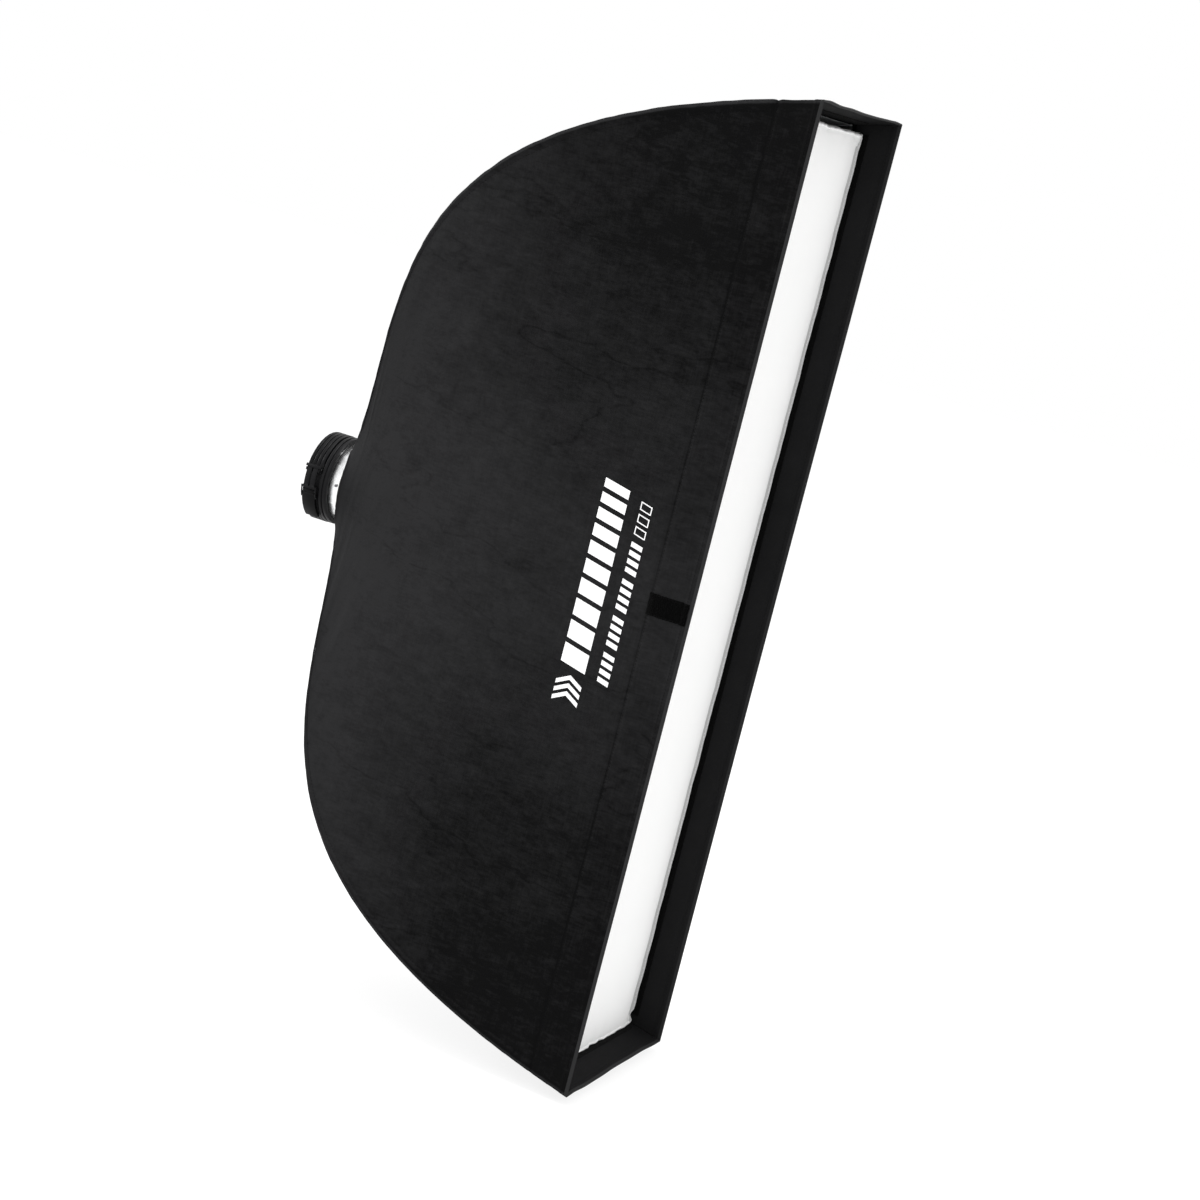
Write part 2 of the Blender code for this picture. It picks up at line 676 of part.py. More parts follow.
def arm_plate(name, span):
    """One arm of the link, beside the lever: from its eye on the link pin up to the bottom bar."""
    radius, angle = LINK_PIN
    eye = [
        (radius + 0.0017 * math.cos(a), angle + 0.0017 * math.sin(a) / radius) for a in np.radians(range(200, 341, 35))
    ]
    outline = [
        *eye,
        (0.0609, math.radians(-19.0)),
        (0.0611, math.radians(-11.0)),
        (0.0598, math.radians(-11.0)),
        (0.0588, math.radians(-19.0)),
        (radius - 0.0012, angle + 0.0012 / radius),
    ]
    points = [polar(r, a, y) for y in span for r, a in outline]
    n = len(outline)
    faces = [tuple(range(n)), tuple(reversed(range(n, 2 * n)))]
    faces += [(k, (k + 1) % n, n + (k + 1) % n, n + k) for k in range(n)]
    return add_object(name, mesh_from(name, points, faces), black_plastic())


# ---- Diffusers ----------------------------------------------------------------------------------------------------
def rounded_plate(name, half_x, half_z, radius, span, surface, corner_steps=5):
    """A flat plate in the XZ plane with rounded corners."""
    outline = []
    for sx, sz, first in ((1, 1, 0), (-1, 1, 90), (-1, -1, 180), (1, -1, 270)):
        for k in range(corner_steps + 1):
            angle = math.radians(first + 90 * k / corner_steps)
            outline.append(
                (sx * (half_x - radius) + radius * math.cos(angle), sz * (half_z - radius) + radius * math.sin(angle))
            )
    n = len(outline)
    points = [(x, y, z) for y in span for x, z in outline]
    faces = [tuple(range(n)), tuple(reversed(range(n, 2 * n)))]
    faces += [(k, (k + 1) % n, n + (k + 1) % n, n + k) for k in range(n)]
    return add_object(name, mesh_from(name, points, faces), surface, smooth=False)


def front_diffuser():
    """The white cloth, and the hook-tape border round it that presses onto the lip's tape."""
    face = DEPTH - DIFFUSER_SET_BACK
    half_x, half_z, corner, wall = 0.1466, 0.5948, 0.014, 0.0016
    border = rounded_plate("front_diffuser_border", half_x, half_z, corner, (face - 0.0100, face), white_cloth())
    inside = (half_x - wall, half_z - wall, corner - wall)
    cut(border, rounded_plate("front_diffuser_border_hole", *inside, (face - 0.0200, face + 0.0100), white_cloth()))
    sheet = (half_x - wall - GAP, half_z - wall - GAP, corner - wall)
    rounded_plate("front_diffuser_sheet", *sheet, (face - 0.0016, face - 0.0004), white_cloth())


def side_x(y, z):
    """X of the +X panel's outer face at a place on it, from the stretched net."""
    net = side_panel_net()
    across = [np.interp(z, row[:, 2], row[:, 0]) for row in net]
    return float(np.interp(y, net[:, 0, 1], across))


def inner_diffuser():
    """The inner baffle, smaller than the cover round it, and the six webbing tabs that button it to the lining."""
    half_x, half_z = INNER_HALF
    back, front = INNER_Y, INNER_Y + FABRIC
    rounded_plate("inner_diffuser", half_x, half_z, 0.020, (back, front), white_cloth())
    shell = FABRIC + LINING + 4 * GAP
    tab = (front + GAP, front + GAP + 0.0010)
    overlap, half = 0.018, 0.010
    for name_x, sx in (("left", 1), ("right", -1)):
        for name_z, sz in (("top", 1), ("bottom", -1)):
            reach = side_x(INNER_Y, 0.36) - shell - 0.0015
            xs = sorted((sx * (half_x - overlap), sx * reach))
            middle = sz * 0.36
            box(
                f"diffuser_tab_{name_x}_{name_z}",
                (xs[0], tab[0], middle - half),
                (xs[1], tab[1], middle + half),
                black_cloth(),
            )
    end_z = float(seam(float(t_at_y(INNER_Y)))[2]) - shell - 0.0015
    for name_z, sz in (("top", 1), ("bottom", -1)):
        zs = sorted((sz * (half_z - overlap), sz * end_z))
        box(f"diffuser_tab_{name_z}", (-half, tab[0], zs[0]), (half, tab[1], zs[1]), black_cloth())


def main():
    clear_scene()
    cover_panels()
    lip()
    rim_binding()
    loop_patches()
    rear_hem()
    rods()
    speedring()
    neck()
    clamp_sleeve()
    clamp_band()
    latch_lever()
    latch_link()
    front_diffuser()
    inner_diffuser()


main()
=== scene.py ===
"""The strip softbox's looks: sewn cloth, tapes, moulded plastic and turned metal. All sizes are in metres."""

import functools
import math

import bmesh
import bpy
import numpy as np
from mathutils import Matrix, Vector


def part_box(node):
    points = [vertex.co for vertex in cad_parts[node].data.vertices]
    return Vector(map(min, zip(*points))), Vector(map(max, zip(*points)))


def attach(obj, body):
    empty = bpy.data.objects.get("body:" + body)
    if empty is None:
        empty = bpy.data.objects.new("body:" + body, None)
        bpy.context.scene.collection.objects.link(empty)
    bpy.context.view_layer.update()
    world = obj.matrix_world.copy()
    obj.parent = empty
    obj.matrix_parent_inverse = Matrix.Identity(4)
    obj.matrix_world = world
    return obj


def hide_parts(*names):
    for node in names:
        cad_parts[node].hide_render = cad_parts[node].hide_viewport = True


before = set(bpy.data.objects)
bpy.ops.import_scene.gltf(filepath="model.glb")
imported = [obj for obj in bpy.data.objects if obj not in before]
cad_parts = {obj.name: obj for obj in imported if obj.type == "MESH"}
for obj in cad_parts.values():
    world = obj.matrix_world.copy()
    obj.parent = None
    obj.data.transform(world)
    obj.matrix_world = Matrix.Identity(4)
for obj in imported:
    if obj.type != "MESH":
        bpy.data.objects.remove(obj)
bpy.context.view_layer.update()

# ---- Sizes
PANELS = ("left", "top", "right", "bottom")  # round the cover: +X, +Z, -X, -Z
SIDES, ENDS = PANELS[::2], PANELS[1::2]
RIM_LOW, (FRONT_X, DEPTH, FRONT_Z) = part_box("rim_binding")
HEM_RADIUS, HEM_Y = 0.0665, 0.0535  # the rear opening
SEAM_REAR = (0.046, 0.048)  # where a corner seam meets the rear opening, in X and Z
# The corner seam seen from the side, as a cubic Bezier in Y and Z from the rear opening to the front rim.
SEAM_CURVE = ((HEM_Y, SEAM_REAR[1]), (0.108, 0.239), (0.0086, 0.4955), (DEPTH, FRONT_Z))
LIP_DEPTH = 0.055  # the strip of cover in front of the rod seam
CLOTH, HEM_EXTRA = 0.0011, 0.0010  # the cover's thickness, and how much more its fold along the rim has
HEM_CUT, HEM_CUT_REACH = 0.0195, 0.10  # the side panels' rear edges are cut hollow
HEM_WIDTH = 0.0105  # the double fold along the front rim
RIM_TAPE = 0.0040  # the paler binding over the fold's edge
SLEEVE_WIDTH = 0.0125  # rod sleeve, from the corner seam to its stitch line
ROD_HEIGHT = 0.0058  # from the corner seam to the middle of the rod under its sleeve
ROW_STEP, COLUMN_STEP = 0.0084, 0.0080  # size of the cover's cells
BESIDE_SEAM = np.array((0.0, 0.0012, 0.0028, 0.0052, 0.0080, 0.0108, 0.0125, 0.0142, 0.0175, 0.0230))
STITCH_PITCH, STITCH_LENGTH, STITCH_RADIUS = 0.0040, 0.0026, 0.00022
PATCH_Y, PATCH_ALONG = (0.5305, 0.5822), (-0.0150, 0.0115)  # the loop patches on the side lips
LINING_DEPTH, LINING = 0.0024, 0.0006  # the lining's outer face behind the cover's, and its thickness
TAPE_START, TAPE_WIDTH, TAPE = 0.0012, 0.0175, 0.0014  # the lip's loop tape
BORDER_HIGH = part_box("front_diffuser_border")[1]
FACE_Y, DIFFUSER_HALF = BORDER_HIGH[1], (BORDER_HIGH[0], BORDER_HIGH[2])
DIFFUSER_CLOTH = 0.0006
DIFFUSER_DROP = 0.006  # the front diffuser hangs lower than the middle of the lip
BEAD = 0.0017  # radius of the roll round the front diffuser
# The border's grey is painted shade, where the border slopes away from the face.
SIDE_BORDER, END_BORDER = 0.0185, 0.0028  # width of its grey border down the sides and across the ends
INNER_LOW, INNER_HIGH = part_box("inner_diffuser")
SIDE_TAB_Z = 0.36  # the inner diffuser's side tabs

CAMERA_PLACE = (3.08198703, 1.60585994, 0.54824199)
CAMERA_RIGHT = (-0.39036056, 0.88863025, 0.24073827)
CAMERA_DOWN = (0.07146887, 0.28994330, -0.95437156)
CAMERA_FORWARD = (-0.91788389, -0.35534373, -0.17669183)
CAMERA_LENS = 80.877


# ---- Camera, light and floor
def linked(name, data):
    made = bpy.data.objects.new(name, data)
    bpy.context.scene.collection.objects.link(made)
    return made


def camera():
    data = bpy.data.cameras.new("camera")
    data.sensor_width, data.lens, data.clip_end = 36.0, CAMERA_LENS, 50.0
    made = linked("camera", data)
    columns = (CAMERA_RIGHT, [-c for c in CAMERA_DOWN], [-c for c in CAMERA_FORWARD])
    made.matrix_world = Matrix.Translation(CAMERA_PLACE) @ Matrix(columns).transposed().to_4x4()
    bpy.context.scene.camera = made


def area_light(name, place, target, size, power):
    data = bpy.data.lights.new(name, "AREA")
    data.shape = "RECTANGLE"
    data.size, data.size_y = size
    data.energy = power
    lamp = linked(name, data)
    lamp.location = place
    lamp.rotation_euler = (Vector(target) - Vector(place)).to_track_quat("-Z", "Y").to_euler()


def studio():
    """A white room with four soft lamps."""
    world = bpy.data.worlds.new("studio")
    world.use_nodes = True
    world.node_tree.nodes["Background"].inputs["Color"].default_value = (1, 1, 1, 1)
    world.node_tree.nodes["Background"].inputs["Strength"].default_value = 1.0
    bpy.context.scene.world = world
    bpy.context.scene.view_settings.view_transform = "Standard"
    area_light("back", (0.40, -3.2, 0.8), (0.1, 0.25, 0.0), (1.2, 1.8), 110)
    area_light("key", (2.6, -1.05, 0.10), (0.0, 0.05, 0.0), (0.5, 1.0), 9)
    area_light("top", (0.1, 0.2, 2.6), (0.0, 0.25, 0.0), (0.9, 0.9), 80)
    area_light("fill", (2.4, 2.6, 0.4), (0, 0.5, 0), (1.4, 2.0), 4)


def floor():
    """A floor nearly as bright as the room, so that its shadow is faint. It is clear from below."""
    size, height = 12.0, RIM_LOW[2] - 0.012
    corners = [(-size, -size, height), (size, -size, height), (size, size, height), (-size, size, height)]
    mesh = bpy.data.meshes.new("floor")
    mesh.from_pydata(corners, [], [(0, 1, 2, 3)])
    made = linked("floor", mesh)
    paint = Shader("floor", (0.25, 0.25, 0.25), 1.0, specular=0.0)
    paint.set("Emission Color", (1, 1, 1, 1))
    paint.set("Emission Strength", 0.80)
    below = paint.node("ShaderNodeNewGeometry").outputs["Backfacing"]
    clear = paint.node("ShaderNodeBsdfTransparent").outputs["BSDF"]
    mix = paint.node("ShaderNodeMixShader", {"Fac": below, 1: paint.principled.outputs["BSDF"], 2: clear})
    paint.tree.links.new(mix.outputs["Shader"], paint.tree.nodes["Material Output"].inputs["Surface"])
    mesh.materials.append(paint.material)


# ---- Materials
class Shader:
    """A Principled material with a short way to add texture nodes to it."""

    def __init__(self, name, colour, roughness, metallic=0.0, specular=0.5):
        self.material = bpy.data.materials.new(name)
        self.material.use_nodes = True
        self.tree = self.material.node_tree
        self.principled = self.tree.nodes["Principled BSDF"]
        self.colour, self.roughness = colour, roughness
        self.set("Base Color", (*colour, 1.0))
        self.set("Roughness", roughness)
        self.set("Metallic", metallic)
        self.set("Specular IOR Level", specular)

    def set(self, socket, value):
        self.principled.inputs[socket].default_value = value

    def node(self, kind, inputs=None, **settings):
        made = self.tree.nodes.new(kind)
        for key, value in settings.items():
            setattr(made, key, value)
        for key, value in (inputs or {}).items():
            if isinstance(value, bpy.types.NodeSocket):
                self.tree.links.new(value, made.inputs[key])
            else:
                made.inputs[key].default_value = value
        return made

    def place(self, space="Object", scale=(1, 1, 1)):
        """Coordinates in metres: the object's own, or the cloth's flat ones."""
        source = self.node("ShaderNodeTexCoord").outputs[space]
        return self.node("ShaderNodeMapping", {"Vector": source, "Scale": scale}).outputs["Vector"]

    def noise(self, at, scale, detail=3.0, roughness=0.55):
        inputs = {"Vector": at, "Scale": scale, "Detail": detail, "Roughness": roughness}
        return self.node("ShaderNodeTexNoise", inputs).outputs["Fac"]

    def wave(self, at, scale, direction, distortion):
        inputs = {"Vector": at, "Scale": scale, "Distortion": distortion, "Detail": 1.0, "Detail Scale": 1.5}
        return self.node("ShaderNodeTexWave", inputs, bands_direction=direction).outputs["Fac"]

    def cells(self, at, scale):
        inputs = {"Vector": at, "Scale": scale}
        return self.node("ShaderNodeTexVoronoi", inputs).outputs["Distance"]

    def math(self, operation, *values, **settings):
        made = self.node("ShaderNodeMath", dict(enumerate(values)), operation=operation, **settings)
        return made.outputs["Value"]

    def parts(self, vector):
        """X, Y and Z of a vector, by name."""
        return self.node("ShaderNodeSeparateXYZ", {"Vector": vector}).outputs

    def between(self, value, low, high, start=0.0, end=1.0):
        """Maps start..end to low..high."""
        inputs = {"Value": value, "From Min": start, "From Max": end, "To Min": low, "To Max": high}
        return self.node("ShaderNodeMapRange", inputs).outputs["Result"]

    def feed(self, socket, value):
        self.tree.links.new(value, self.principled.inputs[socket])

    def tint(self, value, low, high):
        """Colour varies with value between low and high times the material's own."""
        inputs = {
            "Factor": value,
            6: (*[min(1.0, c * low) for c in self.colour], 1.0),
            7: (*[min(1.0, c * high) for c in self.colour], 1.0),
        }
        mix = self.node("ShaderNodeMix", inputs, data_type="RGBA")
        self.feed("Base Color", mix.outputs[2])

    def polish(self, value, less, more):
        """Roughness varies with value between less below and more above the material's own."""
        self.feed("Roughness", self.between(value, self.roughness - less, self.roughness + more))

    def bump(self, *layers):
        """Lays bumps of (height, depth, strength) on each other."""
        under = {}
        for height, depth, strength in layers:
            inputs = {"Height": height, "Distance": depth, "Strength": strength, **under}
            under = {"Normal": self.node("ShaderNodeBump", inputs).outputs["Normal"]}
        self.feed("Normal", under["Normal"])


def woven(name, colour, roughness, thread, sheen=0.0, mottle=(0.8, 1.2), depth=0.00012, specular=0.10):
    """Plain-woven cloth; thread is the distance between threads."""
    cloth = Shader(name, colour, roughness, specular=specular)
    at = cloth.place("UV")
    turns = 1.0 / (thread * 20.0 / math.pi)
    weave = cloth.math("MAXIMUM", *(cloth.wave(at, turns, way, 0.6) for way in "XY"))
    if mottle:
        blotch = cloth.math("MULTIPLY_ADD", cloth.noise(at, 14.0, 7.0, 0.62), 0.8, 0.5)
        cloth.tint(cloth.between(blotch, 0.0, 1.0), *mottle)
    grain, rumple = cloth.noise(at, 420.0, 2.0), cloth.noise(at, 55.0, 4.0, 0.6)
    cloth.polish(grain, 0.08, 0.08)
    cloth.bump((rumple, 0.0009, 0.5), (grain, 0.0002, 0.5), (weave, depth, 0.6))
    cloth.set("Sheen Weight", sheen)
    cloth.set("Sheen Roughness", 0.45)
    return cloth


@functools.cache
def cover_cloth():
    """The cover's black nylon, mottled, with painted light and shade: paler at its rear, round its middle and
    on top, painted shade along creases, and a painted highlight and shade beside the corner seams.
    """
    cloth = woven("black_nylon", (0.0100, 0.0100, 0.0104), 0.76, 0.0009, mottle=None, specular=0.03)
    spot = cloth.parts(cloth.place())
    # Painted light: the cloth is paler towards its rear (along Y) and round its middle (along Z).
    rear = cloth.between(spot["Y"], 1.0, 0.0, 0.09, 0.40)
    square = cloth.math("MULTIPLY", spot["Z"], spot["Z"])
    middle = cloth.math("MULTIPLY", cloth.math("EXPONENT", cloth.math("MULTIPLY", square, -13.0)), 0.62)
    middle = cloth.math("ADD", cloth.math("MULTIPLY", rear, 0.42), middle)
    # Painted light from above: paler where the cloth's normal points up.
    facing = cloth.parts(cloth.node("ShaderNodeTexCoord").outputs["Normal"])
    settled = cloth.math("MULTIPLY", cloth.math("MAXIMUM", facing["Z"], 0.0), 0.42)
    painted_light = cloth.math("ADD", cloth.math("MAXIMUM", rear, middle), cloth.math("ADD", settled, 0.04))
    # Painted shade: thin darker lines where this fold noise crosses its middle stand for the shade in
    # creases; a darker line also runs along the lip seam.
    folded = cloth.noise(cloth.place("Object", (3.4, 2.4, 7.5)), 1.0, 5.0, 0.5)
    length = cloth.parts(cloth.place("UV"))["Y"]
    tone = cloth.node("ShaderNodeAttribute", attribute_name="painted_seam_shading").outputs["Fac"]
    for value, line, reach, depth in ((folded, 0.5, 0.010, -0.22), (length, LIP_LENGTH, 0.0020, -0.40)):
        near = cloth.math("ABSOLUTE", cloth.math("SUBTRACT", value, line))
        tone = cloth.math("ADD", tone, cloth.between(near, depth, 0.0, 0.0, reach))
    for space, scale, detail, spread in (
        ("Object", (9.0, 4.5, 13.0), 6.0, 0.34),
        ("Object", (60.0, 34.0, 80.0), 4.0, 0.40),
        ("Object", (190.0, 120.0, 260.0), 2.0, 0.30),
        ("UV", (45.0, 420.0, 1.0), 2.0, 0.20),
        ("UV", (420.0, 45.0, 1.0), 2.0, 0.20),
    ):
        patch = cloth.noise(cloth.place(space, scale), 1.0, detail, 0.6)
        tone = cloth.math("ADD", tone, cloth.between(patch, -spread, spread))
    cloth.tint(cloth.math("ADD", painted_light, tone, use_clamp=True), 0.32, 1.70)
    return cloth.material


@functools.cache
def lip_cloth():
    """The lip's inner face."""
    colour = (0.0078, 0.0078, 0.0081)
    return woven("lip_nylon", colour, 0.76, 0.0009, mottle=(0.5, 1.5), specular=0.03).material


@functools.cache
def rim_tape():
    """The binding over the front rim, a little paler than the cloth."""
    return woven("rim_tape", (0.0165, 0.0165, 0.0170), 0.72, 0.0007, 0.02).material


@functools.cache
def silver_cloth():
    silver = woven("silver_lining", (0.66, 0.67, 0.69), 0.34, 0.0012, 0.0, (0.85, 1.1), 0.00025)
    silver.set("Metallic", 0.85)
    return silver.material


@functools.cache
def white_cloth():
    white = woven("diffusion_cloth", (0.90, 0.90, 0.895), 0.85, 0.0011, 0.1, (0.98, 1.02), 0.00008)
    white.set("Subsurface Weight", 0.15)
    white.set("Subsurface Radius", (0.004, 0.004, 0.004))
    return white.material


@functools.cache
def loop_pile(name, colour):
    """Hook-and-loop tape: a fuzzy pile."""
    pile = Shader(name, colour, 0.97, specular=0.02)
    at = pile.place()
    fuzz = pile.noise(at, 900.0, 3.0, 0.7)
    pile.tint(fuzz, 0.5, 1.6)
    pile.bump((fuzz, 0.0006, 0.8), (pile.cells(at, 620.0), 0.0008, 1.0))
    pile.set("Sheen Weight", 0.02)
    return pile.material


@functools.cache
def painted_border_shade():
    """Painted shade: a grey cloth on the front diffuser's border round its rolled edge, standing for the
    shade where the border slopes away.
    """
    return woven("painted_border_shade", (0.52, 0.52, 0.52), 0.85, 0.0009, 0.0, (0.82, 1.10), 0.0001).material


@functools.cache
def webbing():
    strap = Shader("black_webbing", (0.012, 0.012, 0.012), 0.75)
    at = strap.place()
    strap.tint(strap.noise(at, 300.0), 0.7, 1.4)
    strap.bump((strap.noise(at, 900.0), 0.0003, 0.5), (strap.wave(at, 70.0, "DIAGONAL", 1.0), 0.0004, 0.9))
    return strap.material


@functools.cache
def moulded(name, colour, roughness, grain_scale=1500.0, depth=0.00006):
    """Moulded plastic with a fine spark-eroded grain and slightly polished high spots."""
    plastic = Shader(name, colour, roughness, specular=0.08)
    at = plastic.place()
    cloud = plastic.noise(at, 60.0, 4.0)
    plastic.tint(cloud, 0.85, 1.2)
    plastic.polish(cloud, 0.07, 0.1)
    plastic.bump((plastic.noise(at, grain_scale, 4.0, 0.6), depth, 0.7))
    return plastic.material


@functools.cache
def turned_metal(name, colour, roughness):
    """Metal turned round the Y axis: very fine grooves round it, and a soft cloudy anodised tone."""
    metal = Shader(name, colour, roughness, 1.0)
    streaks = metal.noise(metal.place("Object", (30.0, 2600.0, 30.0)), 1.0, 3.0)
    metal.tint(streaks, 0.88, 1.08)
    metal.polish(streaks, 0.06, 0.1)
    metal.bump((metal.wave(metal.place(), 900.0, "Y", 0.8), 0.00002, 0.4))
    metal.set("Anisotropic", 0.4)
    return metal.material


@functools.cache
def plain_metal(name, colour, roughness):
    metal = Shader(name, colour, roughness, 1.0)
    scratches = metal.noise(metal.place(), 240.0, 5.0, 0.65)
    metal.tint(scratches, 0.85, 1.1)
    metal.polish(scratches, 0.08, 0.12)
    metal.bump((scratches, 0.00005, 0.4))
    return metal.material


@functools.cache
def patterned(name, colour, roughness, pattern, tint, depth, strength, specular=0.5):
    """A material whose tone and bumps follow one pattern: a method of Shader's, and its settings."""
    surface = Shader(name, colour, roughness, specular=specular)
    method, *settings = pattern
    value = getattr(surface, method)(surface.place(), *settings)
    surface.tint(value, *tint)
    surface.bump((value, depth, strength))
    return surface.material


def hook_tape():
    """White hook tape: rows of tiny hooks."""
    return patterned("hook_tape", (0.78, 0.78, 0.77), 0.7, ("cells", 760.0), (0.80, 1.05), 0.0005, 0.9)


def thread(name, colour):
    """Twisted sewing thread."""
    ply = ("wave", 260.0, "DIAGONAL", 1.5)
    return patterned(name, colour, 0.75, ply, (0.7, 1.3), 0.00006, 0.6, 0.05)


def print_ink():
    specks = ("noise", 850.0, 3.0, 0.7)
    return patterned("white_print", (0.86, 0.86, 0.86), 0.55, specks, (0.86, 1.06), 0.00012, 0.8)


# ---- Number tools
def unit(vectors):
    return vectors / np.maximum(np.linalg.norm(vectors, axis=-1, keepdims=True), 1e-12)


def lattice_value(cells, seed):
    """A repeatable number from 0 to 1 for each lattice point."""
    mixed = (cells * np.array((73856093, 19349663, 83492791))).sum(axis=-1) + seed * 374761393
    mixed = (mixed ^ (mixed >> 13)) * 1274126177 & 0x7FFFFFFF
    return ((mixed ^ (mixed >> 16)) & 0xFFFF) / 65535.0


def noise(seed, cell, *places):
    """Value noise from -1 to 1 at up to three coordinates, its cells one size or one for each coordinate."""
    places = np.broadcast_arrays(*places)
    shape = places[0].shape
    parts = [(place / size).ravel() for place, size in zip(places, np.broadcast_to(cell, len(places)))]
    points = np.stack(parts + [np.zeros(places[0].size)] * (3 - len(parts)), axis=1)
    base = np.floor(points).astype(np.int64)
    part = points - base
    ease = part * part * (3 - 2 * part)
    total = np.zeros(len(points))
    for corner in np.ndindex(2, 2, 2):
        weight = np.prod(np.where(corner, ease, 1 - ease), axis=1)
        total += weight * lattice_value(base + np.array(corner), seed)
    return (2 * total - 1).reshape(shape)


def bell(value, width):
    return np.exp(-((value / width) ** 2))


def ramp(value, low, high):
    """0 below low, 1 above high, smooth between."""
    share = np.clip((value - low) / (high - low), 0.0, 1.0)
    return share * share * (3 - 2 * share)


def cubic_sample(grid, rows, columns):
    """Values of a grid at fractional places, by Catmull-Rom curves both ways."""
    starts, weights = [], []
    for place, size in zip((rows, columns), grid.shape):
        start = np.clip(np.floor(place).astype(int), 0, size - 2)
        f = place - start
        starts.append(start)
        first, second = 0.5 * (-f + 2 * f**2 - f**3), 0.5 * (2 - 5 * f**2 + 3 * f**3)
        third, fourth = 0.5 * (f + 4 * f**2 - 3 * f**3), 0.5 * (-(f**2) + f**3)
        weights.append((first, second, third, fourth))
    padded = np.pad(grid, 1, mode="reflect", reflect_type="odd")
    pairs = np.ndindex(4, 4)
    return sum(weights[0][i] * weights[1][j] * padded[starts[0] + i, starts[1] + j] for i, j in pairs)


# ---- The corner seam and the stretched cover
def seam(t):
    """Points on the corner seam of the +X +Z quarter, for t from 0 at the rear opening to 1 at the rim."""
    t = np.asarray(t, float)[..., None]
    a, b, c, d = (np.array(p, float) for p in SEAM_CURVE)
    s = 1 - t
    flat = s**3 * a + 3 * s**2 * t * b + 3 * s * t**2 * c + t**3 * d
    share = (flat[..., 1:] - SEAM_REAR[1]) / (FRONT_Z - SEAM_REAR[1])
    return np.concatenate([SEAM_REAR[0] + share * (FRONT_X - SEAM_REAR[0]), flat], axis=-1)


TABLE_T = np.linspace(0.0, 1.0, 801)
TABLE = seam(TABLE_T)
TABLE_LENGTH = np.concatenate([[0.0], np.cumsum(np.linalg.norm(np.diff(TABLE, axis=0), axis=1))])
FRONT_HALF = TABLE_T > 0.5
LIP_T = float(np.interp(DEPTH - LIP_DEPTH, TABLE[FRONT_HALF, 1], TABLE_T[FRONT_HALF]))
LIP_LENGTH = float(np.interp(LIP_T, TABLE_T, TABLE_LENGTH))
RIM_LENGTH = float(TABLE_LENGTH[-1])


def seam_at(length):
    """The seam's point at a length along it from the rear opening."""
    return seam(np.interp(length, TABLE_LENGTH, TABLE_T))


def stretched_film(rows=41, columns=57):
    """X of the +X panel between its two seams, its rear opening and the lip seam, as tight cloth settles."""
    edge = seam_at(np.linspace(0.0, LIP_LENGTH, rows))
    y = np.repeat(edge[:, 1:2], columns, axis=1)
    z = edge[:, 2:3] * np.linspace(-1.0, 1.0, columns)
    x = np.repeat(edge[:, 0:1], columns, axis=1)
    x[0] = np.sqrt(HEM_RADIUS**2 - z[0] ** 2)
    index = np.arange(rows * columns).reshape(rows, columns)
    a, b, c, d = (k.ravel() for k in (index[:-1, :-1], index[:-1, 1:], index[1:, :-1], index[1:, 1:]))
    triangles = np.concatenate([np.stack([a, c, b], 1), np.stack([b, c, d], 1)])
    flat = np.stack([y.ravel(), z.ravel()], axis=1)
    pull = np.zeros((index.size, index.size))
    for k in range(3):
        i, j, far = triangles[:, k], triangles[:, (k + 1) % 3], triangles[:, (k + 2) % 3]
        u, v = flat[i] - flat[far], flat[j] - flat[far]
        twice_area = np.maximum(np.abs(u[:, 0] * v[:, 1] - u[:, 1] * v[:, 0]), 1e-12)
        weight = 0.5 * (u * v).sum(1) / twice_area
        for m, n, sign in ((i, j, -1), (j, i, -1), (i, i, 1), (j, j, 1)):
            np.add.at(pull, (m, n), sign * weight)
    free = np.zeros((rows, columns), bool)
    free[1:-1, 1:-1] = True
    free, held = free.ravel(), ~free.ravel()
    settled = x.ravel()
    settled[free] = np.linalg.solve(pull[np.ix_(free, free)], -pull[np.ix_(free, held)] @ settled[held])
    return settled.reshape(rows, columns)


FILM = stretched_film()


def panel_base(panel, length, across):
    """Points of a panel's unwrinkled outer face: across it from -1 to 1, and at a length along the seam."""
    length, across = np.broadcast_arrays(np.asarray(length, float), np.asarray(across, float))
    flip = 1.0 if panel in ("left", "top") else -1.0
    if panel in SIDES:
        length = length + HEM_CUT * (1 - across**2) * np.clip(1 - length / HEM_CUT_REACH, 0, 1) ** 2
        edge = seam_at(length)
        rows = np.clip(length / LIP_LENGTH, 0, 1) * (FILM.shape[0] - 1)
        columns = (across + 1) / 2 * (FILM.shape[1] - 1)
        film = cubic_sample(FILM, rows, columns)
        x = np.where(length < LIP_LENGTH, film, edge[..., 0])
        return np.stack([flip * x, edge[..., 1], flip * across * edge[..., 2]], axis=-1)
    hem_z = np.sqrt(HEM_RADIUS**2 - (across * SEAM_REAR[0]) ** 2)
    start = np.interp(hem_z, TABLE[:, 2], TABLE_LENGTH)
    own = np.where(length < LIP_LENGTH, start + (LIP_LENGTH - start) * length / LIP_LENGTH, length)
    edge = seam_at(own)
    return np.stack([-flip * across * edge[..., 0], edge[..., 1], flip * edge[..., 2]], axis=-1)


def panel_half(panel, length):
    """Half the panel's width from seam to seam."""
    return seam_at(length)[..., 2 if panel in SIDES else 0]


def panel_normals(panel, length, across):
    """Outward unit normals of the unwrinkled face."""
    step, turn = 0.0015, 0.01
    along = panel_base(panel, np.minimum(length + step, RIM_LENGTH), across)
    along = along - panel_base(panel, np.maximum(length - step, 0.0), across)
    wide = panel_base(panel, length, np.minimum(across + turn, 1.0))
    wide = wide - panel_base(panel, length, np.maximum(across - turn, -1.0))
    return unit(np.cross(along, wide))


